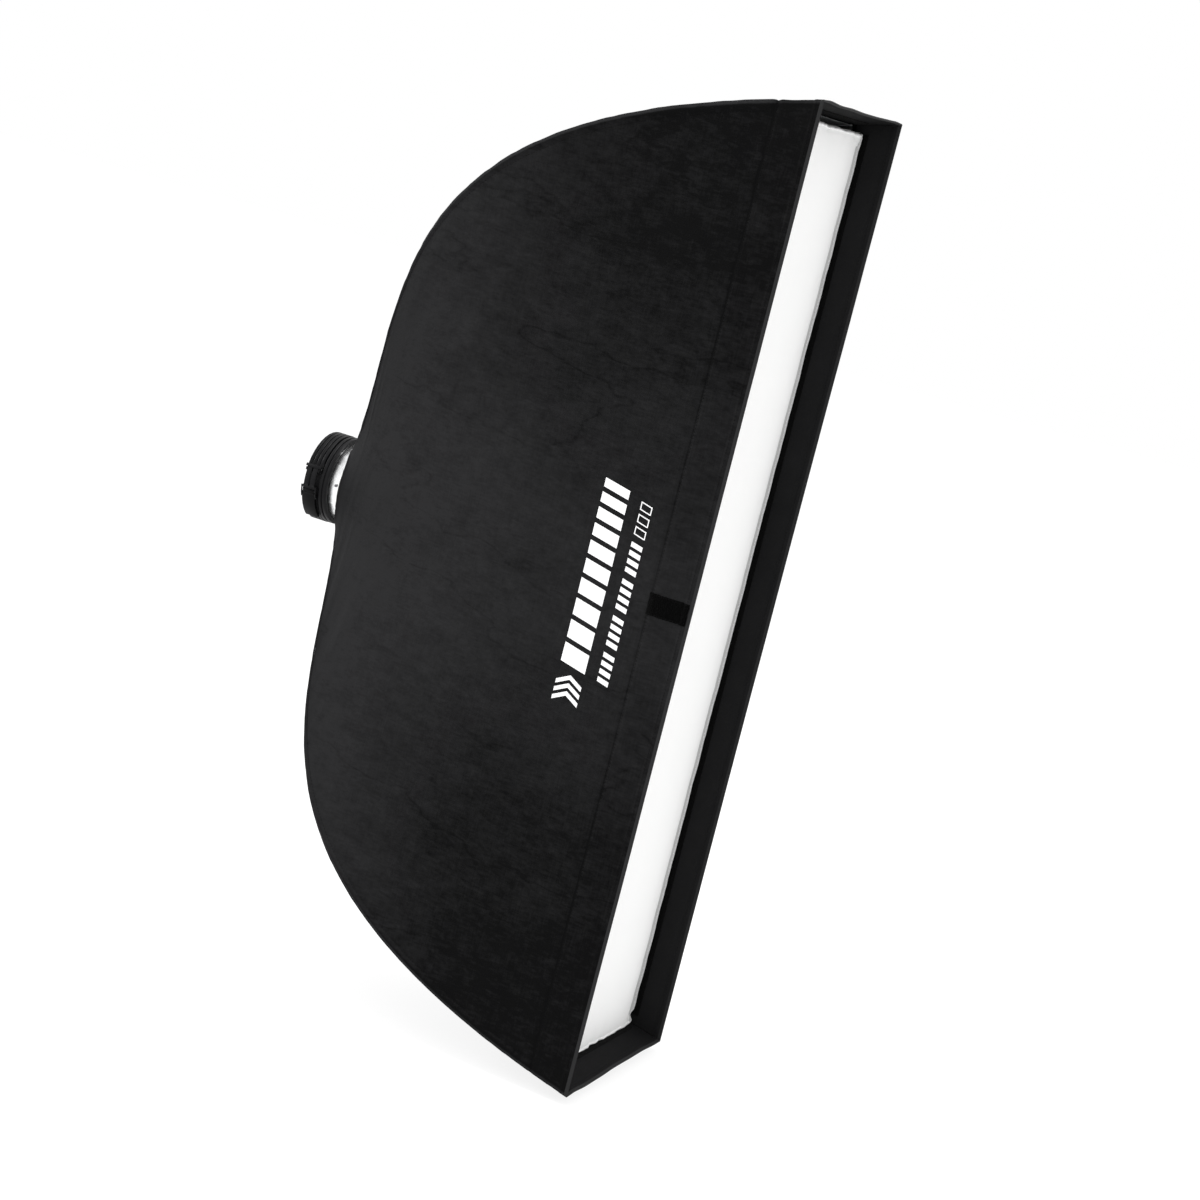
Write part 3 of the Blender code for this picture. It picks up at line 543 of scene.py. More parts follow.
def cover_relief(panel, length, across):
    """How far the cloth stands out of the unwrinkled face: rod sleeves, seams, hem, puckers and slack."""
    which, side = PANELS.index(panel), panel in SIDES
    half = panel_half(panel, length)
    from_seam, along = half * (1 - np.abs(across)), half * across
    to_rim, to_lip = RIM_LENGTH - length, LIP_LENGTH - length
    # The rod sleeve beside each corner seam, its stitch line, and the puckers of the seam.
    sleeve = ramp(length, 0.015, 0.05) * ramp(to_lip, -0.001, 0.006)
    relief = 0.0013 * sleeve * bell(from_seam - ROD_HEIGHT, 0.0046)
    relief -= 0.0006 * sleeve * bell(from_seam - SLEEVE_WIDTH, 0.0022)
    seam_seed = 10 + (which + (across > 0)) % 4
    pucker = noise(3, (0.011, 1), length, seam_seed) + 0.6 * noise(5, (0.006, 1), length, seam_seed)
    relief += 0.00042 * pucker * np.exp(-from_seam / 0.016) * ramp(to_rim, 0.0, 0.03)
    # The lip seam's groove and puckers, and the rim's double fold.
    relief -= 0.0008 * bell(to_lip, 0.0026)
    lip_pucker = noise(21 + which, 0.010, along)
    relief += 0.00030 * lip_pucker * np.exp(-np.abs(to_lip) / 0.012)
    relief += 0.0006 * ramp(-to_rim, -HEM_WIDTH - 0.0012, -HEM_WIDTH)
    # Slack folds, slanted on the side panels, in some places more than in others.
    slack = ramp(from_seam, 0.0, 0.05) * ramp(length, 0.0, 0.05)
    tilt = 0.55 if side else 0.0
    p, q = along * math.cos(tilt) + length * math.sin(tilt), length * math.cos(tilt) - along * math.sin(tilt)
    folds = noise(31 + which, (0.150, 0.034), p, q) + 0.5 * noise(37, (0.075, 0.017), p, q)
    calm = 0.35 + 0.65 * ramp(noise(41 + which, 0.16, along, length), -0.2, 0.6)
    relief += 0.0010 * slack * calm * folds * (0.25 + 0.75 * ramp(to_lip, 0.0, 0.06))
    relief += 0.0012 * slack * noise(47 + which, (0.21, 0.19), along, length)
    # The lip, which no rod holds.
    loose, hollow = ramp(length, LIP_LENGTH, RIM_LENGTH), 1 - across**2
    if side:
        wave = noise(53 + which, (0.11, 0.09), along, length)
        return relief - 0.0022 * loose * hollow + 0.0005 * loose * wave
    wave = noise(59 + which, (0.045, 0.30), along, length)
    return relief + loose * (0.0016 * wave - 0.0012 * hollow) * ramp(from_seam, 0.0, 0.03)


def cover_point(panel, length, across, lift=0.0):
    """Points of the cover's outer face with its relief, and lift beyond it."""
    length, across = np.broadcast_arrays(np.asarray(length, float), np.asarray(across, float))
    height = cover_relief(panel, length, across) + lift
    return panel_base(panel, length, across) + panel_normals(panel, length, across) * height[..., None]


def loop_places(length, coarse):
    """(panel, across) columns round the whole cover at one length, close together beside the corner seams."""
    near = BESIDE_SEAM if coarse <= 1 else BESIDE_SEAM[[0, 3, 5, 9]]
    columns = []
    for panel in PANELS:
        half = float(panel_half(panel, length))
        most = float(panel_half(panel, RIM_LENGTH))
        steps = int(round(2 * (most - near[-1]) / (COLUMN_STEP * coarse)))
        beside = near * min(1.0, 0.45 * half / near[-1]) / half
        middle = np.linspace(-1 + beside[-1], 1 - beside[-1], steps + 1)[1:-1]
        columns.append((panel, np.concatenate([-1 + beside, middle, (1 - beside)[::-1][:-1]])))
    return columns


def cover_rows():
    """Lengths along the seam of the cover's rows of points, closer at the lip seam and the rim's fold."""
    even = np.arange(0.0, RIM_LENGTH, ROW_STEP)
    lip = LIP_LENGTH + np.array((-0.006, -0.0035, -0.0017, 0.0, 0.0017, 0.0035, 0.006))
    fold = HEM_WIDTH + np.array((0.0026, 0.0013, 0.0, -0.002))
    rows = np.concatenate([lip, RIM_LENGTH - np.concatenate([fold, (RIM_TAPE, 0.0)])])
    even = even[np.min(np.abs(even[:, None] - rows), axis=1) > 0.0030]
    return np.sort(np.concatenate([even, rows]))


def cloth_net(rows, coarse=1):
    """Points, flat cloth coordinates and outward normals of the cover, one row per length."""
    points, flat = [], []
    for length in rows:
        places = loop_places(length, coarse)
        points.append(np.concatenate([cover_point(panel, length, at) for panel, at in places]))
        starts = [2.0 * k + at * float(panel_half(panel, length)) for k, (panel, at) in enumerate(places)]
        flat.append(np.stack([np.concatenate(starts), np.full(len(points[-1]), length)], axis=1))
    points, flat = np.array(points), np.array(flat)
    along = np.gradient(points, axis=0)
    around = np.roll(points, -1, axis=1) - np.roll(points, 1, axis=1)
    return points, flat, unit(np.cross(along, around))


# ---- Meshes
def new_piece(name, points, faces, surface, flat=None, smooth_angle=50):
    """A mesh of points and faces, its faces turned outward; flat gives each point's place on the cloth."""
    mesh = bpy.data.meshes.new(name)
    mesh.from_pydata(np.asarray(points, float).tolist(), [], [[int(k) for k in f] for f in faces])
    if flat is not None:
        layer = mesh.uv_layers.new(name="cloth")
        corners = np.zeros(len(mesh.loops), int)
        mesh.loops.foreach_get("vertex_index", corners)
        layer.data.foreach_set("uv", np.asarray(flat, float)[corners].ravel())
    mesh.materials.append(surface)
    mesh.shade_smooth()
    mesh.set_sharp_from_angle(angle=math.radians(smooth_angle))
    piece = linked(name, mesh)
    shape = bmesh.new()
    shape.from_mesh(mesh)
    bmesh.ops.recalc_face_normals(shape, faces=shape.faces)
    shape.to_mesh(mesh)
    shape.free()
    return piece


def band(before, after):
    """Quads between two loops of as many points."""
    before, after = list(before), list(after)
    return list(zip(before, before[1:] + before[:1], after[1:] + after[:1], after))


def net_faces(rows, columns, start=0, closed=False, flip=False):
    """Quads of a net, closed round its columns or not."""
    faces = []
    for i in range(rows - 1):
        for j in range(columns if closed else columns - 1):
            k = (j + 1) % columns
            a, b = start + i * columns, start + (i + 1) * columns
            quad = (a + j, a + k, b + k, b + j)
            faces.append(quad[::-1] if flip else quad)
    return faces


def painted_seam_shading(length):
    """Painted seam shading round one row of the cover: a painted highlight on the corner seams and painted
    shade in a thin line beside them.
    """
    tones = []
    for panel, across in loop_places(length, 1):
        from_seam = float(panel_half(panel, length)) * (1 - np.abs(across))
        # Painted shade along a thin line over the rod's middle; the paler band within a few millimetres of
        # the seam is a painted highlight.
        groove = bell(from_seam - ROD_HEIGHT, 0.0016)
        tones.append(0.75 * (1 - ramp(from_seam, 0.0030, 0.0045)) - 0.30 * groove)
    return np.concatenate(tones) * float(ramp(length, 0.03, 0.10))


def nodes_of(kind):
    """The frame's nodes of one kind on the four panels."""
    return [f"side_{kind}_{s}" for s in SIDES] + [f"end_{kind}_{s}" for s in ENDS]


def cover():
    """The whole cover as one cloth: outer face, folded rim and inner face."""
    rows = cover_rows()
    points, flat, normals = cloth_net(rows)
    to_rim = (RIM_LENGTH - rows)[:, None, None]
    inner = points - normals * (CLOTH + HEM_EXTRA * ramp(-to_rim, -HEM_WIDTH - 0.001, -HEM_WIDTH))
    turn = np.array((0.0, 1.0, 0.0)) * 0.0006
    hem, fold = (points[0] + inner[0]) / 2 - turn, (points[-1] + inner[-1]) / 2 + turn
    loops = np.concatenate([hem[None], points, fold[None], inner[::-1]])
    flat_loops = np.concatenate([flat[:1], flat, flat[-1:], flat[::-1]])
    count, columns = loops.shape[:2]
    faces = net_faces(count, columns, closed=True)
    faces += band(range((count - 1) * columns, count * columns), range(columns))
    piece = new_piece("cover", loops.reshape(-1, 3), faces, cover_cloth(), flat_loops.reshape(-1, 2))
    piece.data.materials.append(lip_cloth())
    piece.data.materials.append(rim_tape())
    # The painted highlight and shade beside the corner seams, kept as a point attribute for the cloth's
    # material.
    tones = np.zeros((count, columns))
    tones[1 : len(rows) + 1] = [painted_seam_shading(length) for length in rows]
    piece.data.attributes.new("painted_seam_shading", "FLOAT", "POINT").data.foreach_set("value", tones.ravel())
    lengths = flat_loops[..., 1].ravel()
    first_inner = (len(rows) + 2) * columns
    for polygon in piece.data.polygons:
        start = min(lengths[k] for k in polygon.vertices)
        if start > RIM_LENGTH - RIM_TAPE - 0.0001:
            polygon.material_index = 2
        elif start > LIP_LENGTH - 0.0001 and min(polygon.vertices) >= first_inner:
            polygon.material_index = 1
    finish_piece(piece, "softbox", "black_cloth", *nodes_of("panel"), *nodes_of("lip"), "rim_binding")


def rim_of(rows, columns):
    """Indices round the edge of an open net."""
    index = np.arange(rows * columns).reshape(rows, columns)
    sides = (index[0], index[1:, -1], index[-1, -2::-1], index[-2:0:-1, 0])
    return [int(k) for k in np.concatenate(sides)]


def slab_shape(top, bottom, closed=False):
    """Points and faces of a cloth between two nets of points, joined round its edges."""
    rows, columns = top.shape[:2]
    count = rows * columns
    faces = net_faces(rows, columns, 0, closed) + net_faces(rows, columns, count, closed, flip=True)
    for rim in [range(columns), range(count - columns, count)] if closed else [rim_of(rows, columns)]:
        faces += band(rim, [k + count for k in rim])
    return np.concatenate([top.reshape(-1, 3), bottom.reshape(-1, 3)]), faces


def slab(name, top, bottom, surface, flat=None, closed=False):
    if flat is not None:
        flat = np.concatenate([flat.reshape(-1, 2)] * 2)
    return new_piece(name, *slab_shape(top, bottom, closed), surface, flat)


def joined(name, parts, surface, smooth_angle=50):
    """One piece of many separate closed shapes, each given as (points, faces)."""
    points, faces, start = [], [], 0
    for part_points, part_faces in parts:
        points.append(np.asarray(part_points, float))
        faces += [[k + start for k in face] for face in part_faces]
        start += len(part_points)
    return new_piece(name, np.concatenate(points), faces, surface, None, smooth_angle)


def finish_piece(piece, body, slot, *nodes):
    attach(piece, body)
    if nodes:
        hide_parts(*nodes)


def length_at_y(y):
    """Length along the seam at a Y in its front half."""
    return np.interp(y, TABLE[FRONT_HALF, 1], TABLE_LENGTH[FRONT_HALF])


# ---- Lining, hem and tapes
def lining():
    """The silver lining behind the four panels, in one piece, from the rear hem to the lip seam."""
    points, flat, normals = cloth_net(np.linspace(0.010, LIP_LENGTH - 0.0065, 76), 2)
    crease = 0.0005 * noise(71, (0.030, 0.022), flat[..., 0], flat[..., 1])
    depth = (LINING_DEPTH + np.clip(crease, 0.0, 1.0))[..., None]
    top, bottom = points - normals * depth, points - normals * (depth + LINING)
    piece = slab("lining", top, bottom, silver_cloth(), flat, closed=True)
    finish_piece(piece, "softbox", "silver_cloth", *nodes_of("lining"))


def rear_hem(sides=10):
    """The elastic hem round the rear opening: a rolled edge, slightly gathered."""
    points, _, normals = cloth_net(np.array((0.0, 0.003, 0.006)), 0.5)
    path, out = points[0] - normals[0] * CLOTH / 2, normals[0]
    ahead = unit(np.roll(path, -1, axis=0) - np.roll(path, 1, axis=0))
    back = unit(np.cross(ahead, out))
    back *= -np.sign(back[:, 1:2])
    gather = noise(81, 0.0055, path[:, 0], path[:, 2])[:, None, None]
    turn = np.linspace(0, 2 * math.pi, sides, endpoint=False)[None, :, None]
    rings = 0.00135 * (1 + 0.2 * gather) * (np.cos(turn) * out[:, None] + np.sin(turn) * back[:, None])
    rings = (path + back * 0.0006)[:, None] + rings
    faces = net_faces(len(path), sides, closed=True)
    faces += band(range(rings[..., 0].size - sides, rings[..., 0].size), range(sides))
    piece = new_piece("rear_hem", rings.reshape(-1, 3), faces, cover_cloth())
    finish_piece(piece, "softbox", "black_cloth", "rear_hem_binding")


def fuzz(seed, height, *places):
    """Two scales of noise, for a pile that stands up unevenly."""
    return height * (0.6 * noise(seed, 0.0034, *places) + 0.4 * noise(seed + 1, 0.0016, *places))


def lip_tapes():
    """Loop tape sewn inside the lip, one length on each side, for the front diffuser to press on."""
    start, end = LIP_LENGTH + TAPE_START, LIP_LENGTH + TAPE_START + TAPE_WIDTH
    pile = loop_pile("loop_tape", (0.0035, 0.0035, 0.0035))
    for panel in PANELS:
        half = float(panel_half(panel, LIP_LENGTH))
        reach = 1 - 0.0145 / half
        across = np.linspace(-reach, reach, int(2 * half / 0.0045))[None, :]
        length, across = np.broadcast_arrays(np.linspace(start, end, 9)[:, None], across)
        edge = bell(length - start, 0.0008) + bell(length - end, 0.0008)
        pile_height = TAPE * (1 - 0.35 * edge) + fuzz(91, 0.00028, across * half, length)
        outer, inner = (cover_point(panel, length, across, -CLOTH - 0.0001 - h) for h in (0.0, pile_height))
        piece = slab(f"lip_tape_{panel}", outer, inner, pile)
        finish_piece(piece, "softbox", "black_tape", f"{'side' if panel in SIDES else 'end'}_tape_{panel}")


def loop_patches():
    """The patch of loop tape in the middle of each side lip: bound edges and a worn, fuzzy pile."""
    pile = loop_pile("loop_patch", (0.0012, 0.0012, 0.0012))
    for panel, side in zip(SIDES, (1.0, -1.0)):
        length = np.linspace(*length_at_y(PATCH_Y), 46)[:, None]
        along = np.linspace(*PATCH_ALONG, 25)[None, :] * side
        length, along = np.broadcast_arrays(length, along)
        rims = np.minimum(length - length[0], length[-1] - length)
        ends = np.minimum(*(np.abs(along - end * side) for end in PATCH_ALONG))
        frayed_length = length + 0.00045 * noise(101, 0.0024, along) * bell(rims, 0.0015)
        frayed_along = along + 0.00045 * noise(103, 0.0024, length) * bell(ends, 0.0012)
        across = frayed_along / panel_half(panel, length)
        height = 0.0008 + 0.0007 * ramp(np.minimum(rims, ends), 0.0, 0.0022)
        height = height + fuzz(105, 0.00030, along, length)
        top, bottom = (cover_point(panel, frayed_length, across, lift) for lift in (height, 0.00004))
        piece = slab(f"lip_patch_{panel}", top, bottom, pile)
        finish_piece(piece, "softbox", "black_tape", f"loop_patch_{panel}")


# ---- Stitching
def spindle_faces(sides, rings):
    """Faces from a point out to a ring of points and on over more rings."""
    faces = [(0, 1 + k, 1 + (k + 1) % sides) for k in range(sides)]
    for a in range(1, 1 + (rings - 1) * sides, sides):
        ring, after = ([start + (k + 1) % sides for k in range(sides)] for start in (a, a + sides))
        faces += [(a + k, a + sides + k, after[k], ring[k]) for k in range(sides)]
    return faces


def stitch_row(path, normals, pitch=STITCH_PITCH, length=STITCH_LENGTH, radius=STITCH_RADIUS, closed=False):
    """Stitches along a path of points, each a spindle of thread that dips into the cloth at both ends."""
    if closed:
        path, normals = np.concatenate([path, path[:1]]), np.concatenate([normals, normals[:1]])
    lengths = np.concatenate([[0.0], np.cumsum(np.linalg.norm(np.diff(path, axis=0), axis=1))])
    starts = np.arange(0.3 * pitch, lengths[-1] - length, pitch)
    at = starts[:, None] + length * np.array((0.0, 0.22, 0.5, 0.78, 1.0))

    def along(values):
        return np.stack([np.interp(at, lengths, values[:, k]) for k in range(3)], axis=-1)

    centre, up = along(path), unit(along(normals))
    ahead = unit(centre[:, -1:] - centre[:, :1])
    beside = np.cross(up, ahead)
    thick = radius * np.array((0.0, 0.95, 1.15, 0.95, 0.0))
    centre = centre + up * (radius * np.array((-0.9, 0.15, 0.55, 0.15, -0.9)))[None, :, None]
    parts = []
    faces = spindle_faces(5, 3) + [(11 + k, 16, 11 + (k + 1) % 5) for k in range(5)]
    turn = np.linspace(0, 2 * math.pi, 5, endpoint=False)[:, None]
    for i in range(len(starts)):
        points = [centre[i, 0]]
        for ring in (1, 2, 3):
            spoke = np.cos(turn) * beside[i, ring] + np.sin(turn) * up[i, ring]
            points += list(centre[i, ring] + thick[ring] * spoke)
        parts.append((np.array(points + [centre[i, 4]]), faces))
    return parts


def round_cover(length, inside=0.0):
    """Path and normals round the whole cover at one length, on its outer face or inside it."""
    points, _, normals = cloth_net(np.array((length - 0.002, length, length + 0.002)))
    return points[1] - normals[1] * inside, normals[1] * (-1.0 if inside else 1.0)


def cover_stitches():
    """Black stitching along the lip seam, the rim's fold, the rod sleeves and the loop patches."""
    parts = []
    fold = RIM_LENGTH - HEM_WIDTH + 0.0016
    for length, inside in ((LIP_LENGTH + 0.0020, 0.0), (fold, 0.0), (fold, CLOTH + HEM_EXTRA)):
        parts += stitch_row(*round_cover(length, inside), closed=True)

    def sewn(panel, length, across, lift, *size):
        path = cover_point(panel, length, across, lift)
        return stitch_row(path, panel_normals(panel, length, across), *size)

    lengths = np.linspace(0.022, LIP_LENGTH - 0.004, 240)
    for panel in PANELS:
        for side in (-1, 1):
            parts += sewn(panel, lengths, side * (1 - SLEEVE_WIDTH / panel_half(panel, lengths)), 0.0)
    (low, high), inset = length_at_y(PATCH_Y), 0.0016
    low, high = low + inset, high - inset
    for panel, flip in zip(SIDES, (1.0, -1.0)):
        ends = flip * (PATCH_ALONG[0] + inset), flip * (PATCH_ALONG[1] - inset)
        ring = [(low, ends[0]), (high, ends[0]), (high, ends[1]), (low, ends[1])]
        for (l0, a0), (l1, a1) in zip(ring, ring[1:] + ring[:1]):
            share = np.linspace(0, 1, 30)
            length, along = l0 + (l1 - l0) * share, a0 + (a1 - a0) * share
            parts += sewn(panel, length, along / panel_half(panel, length), 0.0013, 0.0030, 0.0020)
    piece = joined("cover_stitches", parts, thread("black_thread", (0.0040, 0.0040, 0.0042)), 80)
    finish_piece(piece, "softbox", "black_cloth")


# ---- Print
def printed_shape(corners):
    """One printed bar on the +X panel: a four-sided shape of (y, z) corners laid on the cloth."""
    (a, b), (d, c) = (np.array(corners[:2], float), np.array(corners[:1:-1], float))
    u, v = np.linspace(0, 1, 5)[:, None, None], np.linspace(0, 1, 9)[None, :, None]
    place = (1 - v) * ((1 - u) * a + u * b) + v * ((1 - u) * d + u * c)
    length = length_at_y(place[..., 0])
    across = place[..., 1] / panel_half("left", length)
    return slab_shape(*(cover_point("left", length, across, lift) for lift in (0.00030, 0.00002)))


def slanted(y_low, y_high, z_low, z_high, lean):
    """Corners of a bar between two Y and two Z, its rear end leaning along Z."""
    return [(y_low, z_low + lean), (y_high, z_low), (y_high, z_high), (y_low, z_high + lean)]


def outlined(y_low, y_high, z_low, z_high, lean, line=0.0013):
    """Four thin strokes round a slanted bar."""
    near, far = y_low + line, y_high - line

    def stroke(y0, y1, z0, z1):
        lean0, lean1 = (lean * (y_high - y) / (y_high - y_low) for y in (y0, y1))
        return [(y0, z0 + lean0), (y1, z0 + lean1), (y1, z1 + lean1), (y0, z1 + lean0)]

    strokes = [stroke(*y, z_low, z_high) for y in ((y_low, near), (far, y_high))]
    for low, high in ((z_low, z_low + line), (z_high - line, z_high)):
        start = stroke(near, y_high, low, high)
        strokes.append([start[0], (far, low), (far, high), start[3]])
    return strokes


def side_print():
    """An abstract printed row of slanted bars with a smaller row in front of it. It spells nothing."""
    shapes = []
    low, high, lean, z = 0.4350, 0.4715, 0.0065, -0.1520
    tip, rise, stroke = (low + high) / 2, 0.0095, 0.0055
    for _ in range(3):
        near, far = z, z + rise
        shapes.append([(low, near), (tip, far), (tip, far + stroke), (low, near + stroke)])
        shapes.append([(tip, far), (high, near), (high, near + stroke), (tip, far + stroke)])
        z += 0.0100
    z += 0.0120
    for k in range(10):
        width = 0.0235 - 0.0014 * k
        shapes.append(slanted(low, high, z, z + width, lean))
        z += width + 0.0062
    low, high, z, width = 0.4895, 0.5055, -0.1150, 0.0060
    for k in range(16):
        shapes.append(slanted(low, high, z, z + width, lean / 2))
        z += width + (0.0042 if k % 4 < 3 else 0.0090)
    for _ in range(3):
        shapes += outlined(low, high, z, z + 0.0100, lean / 2)
        z += 0.0150
    piece = joined("side_print", [printed_shape(k) for k in shapes], print_ink())
    finish_piece(piece, "softbox", "white_cloth")


# ---- Diffusers
EDGE_STEPS = np.array((0, 5, 11, 18, 26, 34, 41, 47, 52, 60, 72, 88, 110, 140, 180, 230)) / 10000


def edged_steps(half, step):
    """Places from -half to half, close together beside both ends."""
    middle = np.linspace(-half + EDGE_STEPS[-1], half - EDGE_STEPS[-1], int(2 * half / step) + 1)[1:-1]
    return np.concatenate([-half + EDGE_STEPS, middle, (half - EDGE_STEPS)[::-1]])


def rounded_net(half, radius, step):
    """A net over a plate with rounded corners: X, Z, distance from the edge, the way to it and its X, Z."""
    x, z = np.meshgrid(edged_steps(half[0], step), edged_steps(half[1], step))
    over_x, over_z = np.abs(x) - (half[0] - radius), np.abs(z) - (half[1] - radius)
    corner = (over_x > 0) & (over_z > 0)
    pull = np.where(corner, np.maximum(over_x, over_z) / np.maximum(np.hypot(over_x, over_z), 1e-9), 1.0)
    over_x, over_z = np.where(corner, over_x * pull, over_x), np.where(corner, over_z * pull, over_z)
    x, z = np.sign(x) * (half[0] - radius + over_x), np.sign(z) * (half[1] - radius + over_z)
    out_x, out_z = np.maximum(over_x, 0.0), np.maximum(over_z, 0.0)
    reach = np.hypot(out_x, out_z)
    inside = np.minimum(np.maximum(over_x, over_z), 0.0)
    distance = radius - reach - inside
    sideways = over_x > over_z
    way_x = np.where(corner, out_x / np.maximum(reach, 1e-9), np.where(sideways, 1.0, 0.0)) * np.sign(x)
    way_z = np.where(corner, out_z / np.maximum(reach, 1e-9), np.where(sideways, 0.0, 1.0)) * np.sign(z)
    return x, z, distance, way_x, way_z, x + way_x * distance, z + way_z * distance


def crease_at(x, z, turn_x, turn_z, width, reach):
    """A straight crease through the origin that fades away from it."""
    return bell(z * turn_z - x * turn_x, width) * np.exp(-np.hypot(x, z) / reach)


def hem_stitches(name, net, normals, depth, body):
    """White stitching round a net of rounded_net, at about a depth from its edge."""
    step = int(np.argmin(np.abs(EDGE_STEPS - depth)))
    inner, facing = (k[step : len(k) - step, step : k.shape[1] - step] for k in (net, normals))
    loop = rim_of(*inner.shape[:2])
    parts = stitch_row(inner.reshape(-1, 3)[loop], facing.reshape(-1, 3)[loop], closed=True)
    finish_piece(joined(name, parts, thread("white_thread", (0.80, 0.80, 0.79)), 80), body, "white_cloth")


def front_diffuser():
    """The white cloth in the lip: a tight face, a rolled edge with puckers, and a wall that turns back."""
    x, z, distance, way_x, way_z, edge_x, edge_z = rounded_net(DIFFUSER_HALF, 0.008, 0.0085)
    half_x, half_z = DIFFUSER_HALF
    side, end = np.abs(way_x), np.abs(way_z)
    # The roll round the edge, the stitched valley behind it, and the border's slope.
    bead = BEAD * (1 + 0.16 * noise(121, 0.034, edge_x, edge_z))
    roll = bead * (np.sqrt(np.clip(1 - ((distance - bead) / bead) ** 2, 0, 1)) - 0.45)
    valley = -0.45 * bead * bell(distance - 2 * bead, 0.0034)
    height = np.where(distance < 2 * bead, roll, valley)
    height -= 0.0010 * side * (1 - ramp(distance, 0.0, SIDE_BORDER + 0.003))
    # Puckers, more at the ends and corners, and the crown of the face.
    corner = bell(np.abs(edge_x) - half_x, 0.018) * bell(np.abs(edge_z) - half_z, 0.018)
    pucker = noise(123, 0.0085, edge_x, edge_z) + 0.5 * noise(125, 0.004, edge_x, edge_z)
    height += (0.00030 + 0.0008 * end + 0.0009 * corner) * pucker * np.exp(-np.abs(distance - 0.004) / 0.013)
    height += 0.0006 * noise(127, 0.026, edge_x, edge_z) * np.exp(-distance / 0.030)
    rise = (1 - (x / half_x) ** 2) * (1 - (z / half_z) ** 8)
    height += 0.0012 * rise + 0.00045 * noise(129, (0.07, 0.10), x, z) * rise
    height -= 0.0024 * crease_at(x + half_x, z + half_z - 0.014, 0.6, 0.8, 0.0040, 0.022)
    height -= 0.0012 * crease_at(x + half_x - 0.026, z - half_z + 0.006, 0.5, 0.85, 0.0032, 0.016)
    # The edge drawn in: everywhere a little, ragged at the ends, and pinched in three places.
    draw = 0.0006 * (1 + noise(131, 0.020, edge_x, edge_z))
    draw += 0.0014 * end * (1 + noise(135, 0.0085, edge_x, edge_z))
    far_side, top_end = (edge_x < 0) & (side > 0.5), (edge_z > 0) & (end > 0.5)
    draw += 0.0050 * far_side * bell(edge_z + half_z - 0.016, 0.0065)
    draw += 0.0022 * far_side * bell(edge_z - half_z + 0.026, 0.0120)
    draw += 0.0024 * top_end * bell(edge_x + half_x - 0.034, 0.0080)
    shift = draw * np.exp(-distance / 0.014)
    face = np.stack([x - way_x * shift, FACE_Y + height - 0.0008, z - way_z * shift - DIFFUSER_DROP], axis=-1)
    normals = unit(np.cross(np.gradient(face, axis=0), np.gradient(face, axis=1)))
    normals *= np.sign(normals[..., 1:2])
    # The wall that turns back from the face's edge.
    rows, columns = face.shape[:2]
    rim, count = rim_of(rows, columns), rows * columns
    ways = np.stack([way_x, np.zeros_like(x), way_z], axis=-1)
    edge, out = face.reshape(-1, 3)[rim], ways.reshape(-1, 3)[rim]
    edge_noise = noise(133, 0.012, edge[:, 0], edge[:, 2])
    back = np.array((0.0, 1.0, 0.0))
    inner_face = face - normals * DIFFUSER_CLOTH
    inner_face.reshape(-1, 3)[rim] = edge - out * DIFFUSER_CLOTH - back * DIFFUSER_CLOTH
    points = [face.reshape(-1, 3), inner_face.reshape(-1, 3)]
    faces = net_faces(rows, columns) + net_faces(rows, columns, count, flip=True)
    outer_loop, inner_loop, start = rim, [k + count for k in rim], 2 * count
    for depth in (0.0012, 0.0030, 0.0055, 0.0083):
        outer = edge - back * depth + out * (0.0003 * edge_noise * depth / 0.008)[:, None]
        points += [outer, outer - out * DIFFUSER_CLOTH]
        loops = [range(start + k * len(rim), start + (k + 1) * len(rim)) for k in (0, 1)]
        faces += band(outer_loop, loops[0]) + band(inner_loop, loops[1])
        outer_loop, inner_loop = loops
        start += 2 * len(rim)
    faces += band(outer_loop, inner_loop)
    points = np.concatenate(points)
    piece = new_piece("front_diffuser_cloth", points, faces, white_cloth(), points[:, (0, 2)], 70)
    # The border's faces take the grey cloth: painted shade where the border slopes away.
    piece.data.materials.append(painted_border_shade())
    border = (distance < np.maximum(SIDE_BORDER * side, END_BORDER)).ravel()
    near_edge = np.concatenate([border, border, np.ones(len(points) - 2 * count, bool)])
    for polygon in piece.data.polygons:
        polygon.material_index = int(all(near_edge[k] for k in polygon.vertices))
    finish_piece(piece, "front_diffuser", "white_cloth", "front_diffuser_sheet")
    width, height = (2 * (half + 0.010) for half in DIFFUSER_HALF)
    diffuser_tape(edge, out)
    hem_stitches("diffuser_stitches", face, normals, 2 * BEAD, "front_diffuser")


def diffuser_tape(edge, out):
    """The hook tape sewn round the outside of the diffuser's wall."""
    walls = [edge - np.array((0.0, depth, 0.0)) for depth in np.linspace(0.0022, 0.0084, 6)]
    lift = 0.0002 + 0.0007 * np.array((0.35, 0.9, 1.0, 1.0, 0.9, 0.35))
    top = np.stack([wall + out * height for wall, height in zip(walls, lift)])
    bottom = np.stack([wall + out * 0.00008 for wall in walls])
    top = top + out * fuzz(141, 0.00014, *np.moveaxis(top, -1, 0))[..., None]
    piece = slab("diffuser_hook_tape", top, bottom, hook_tape(), closed=True)
    finish_piece(piece, "front_diffuser", "white_hook_tape", "front_diffuser_border")


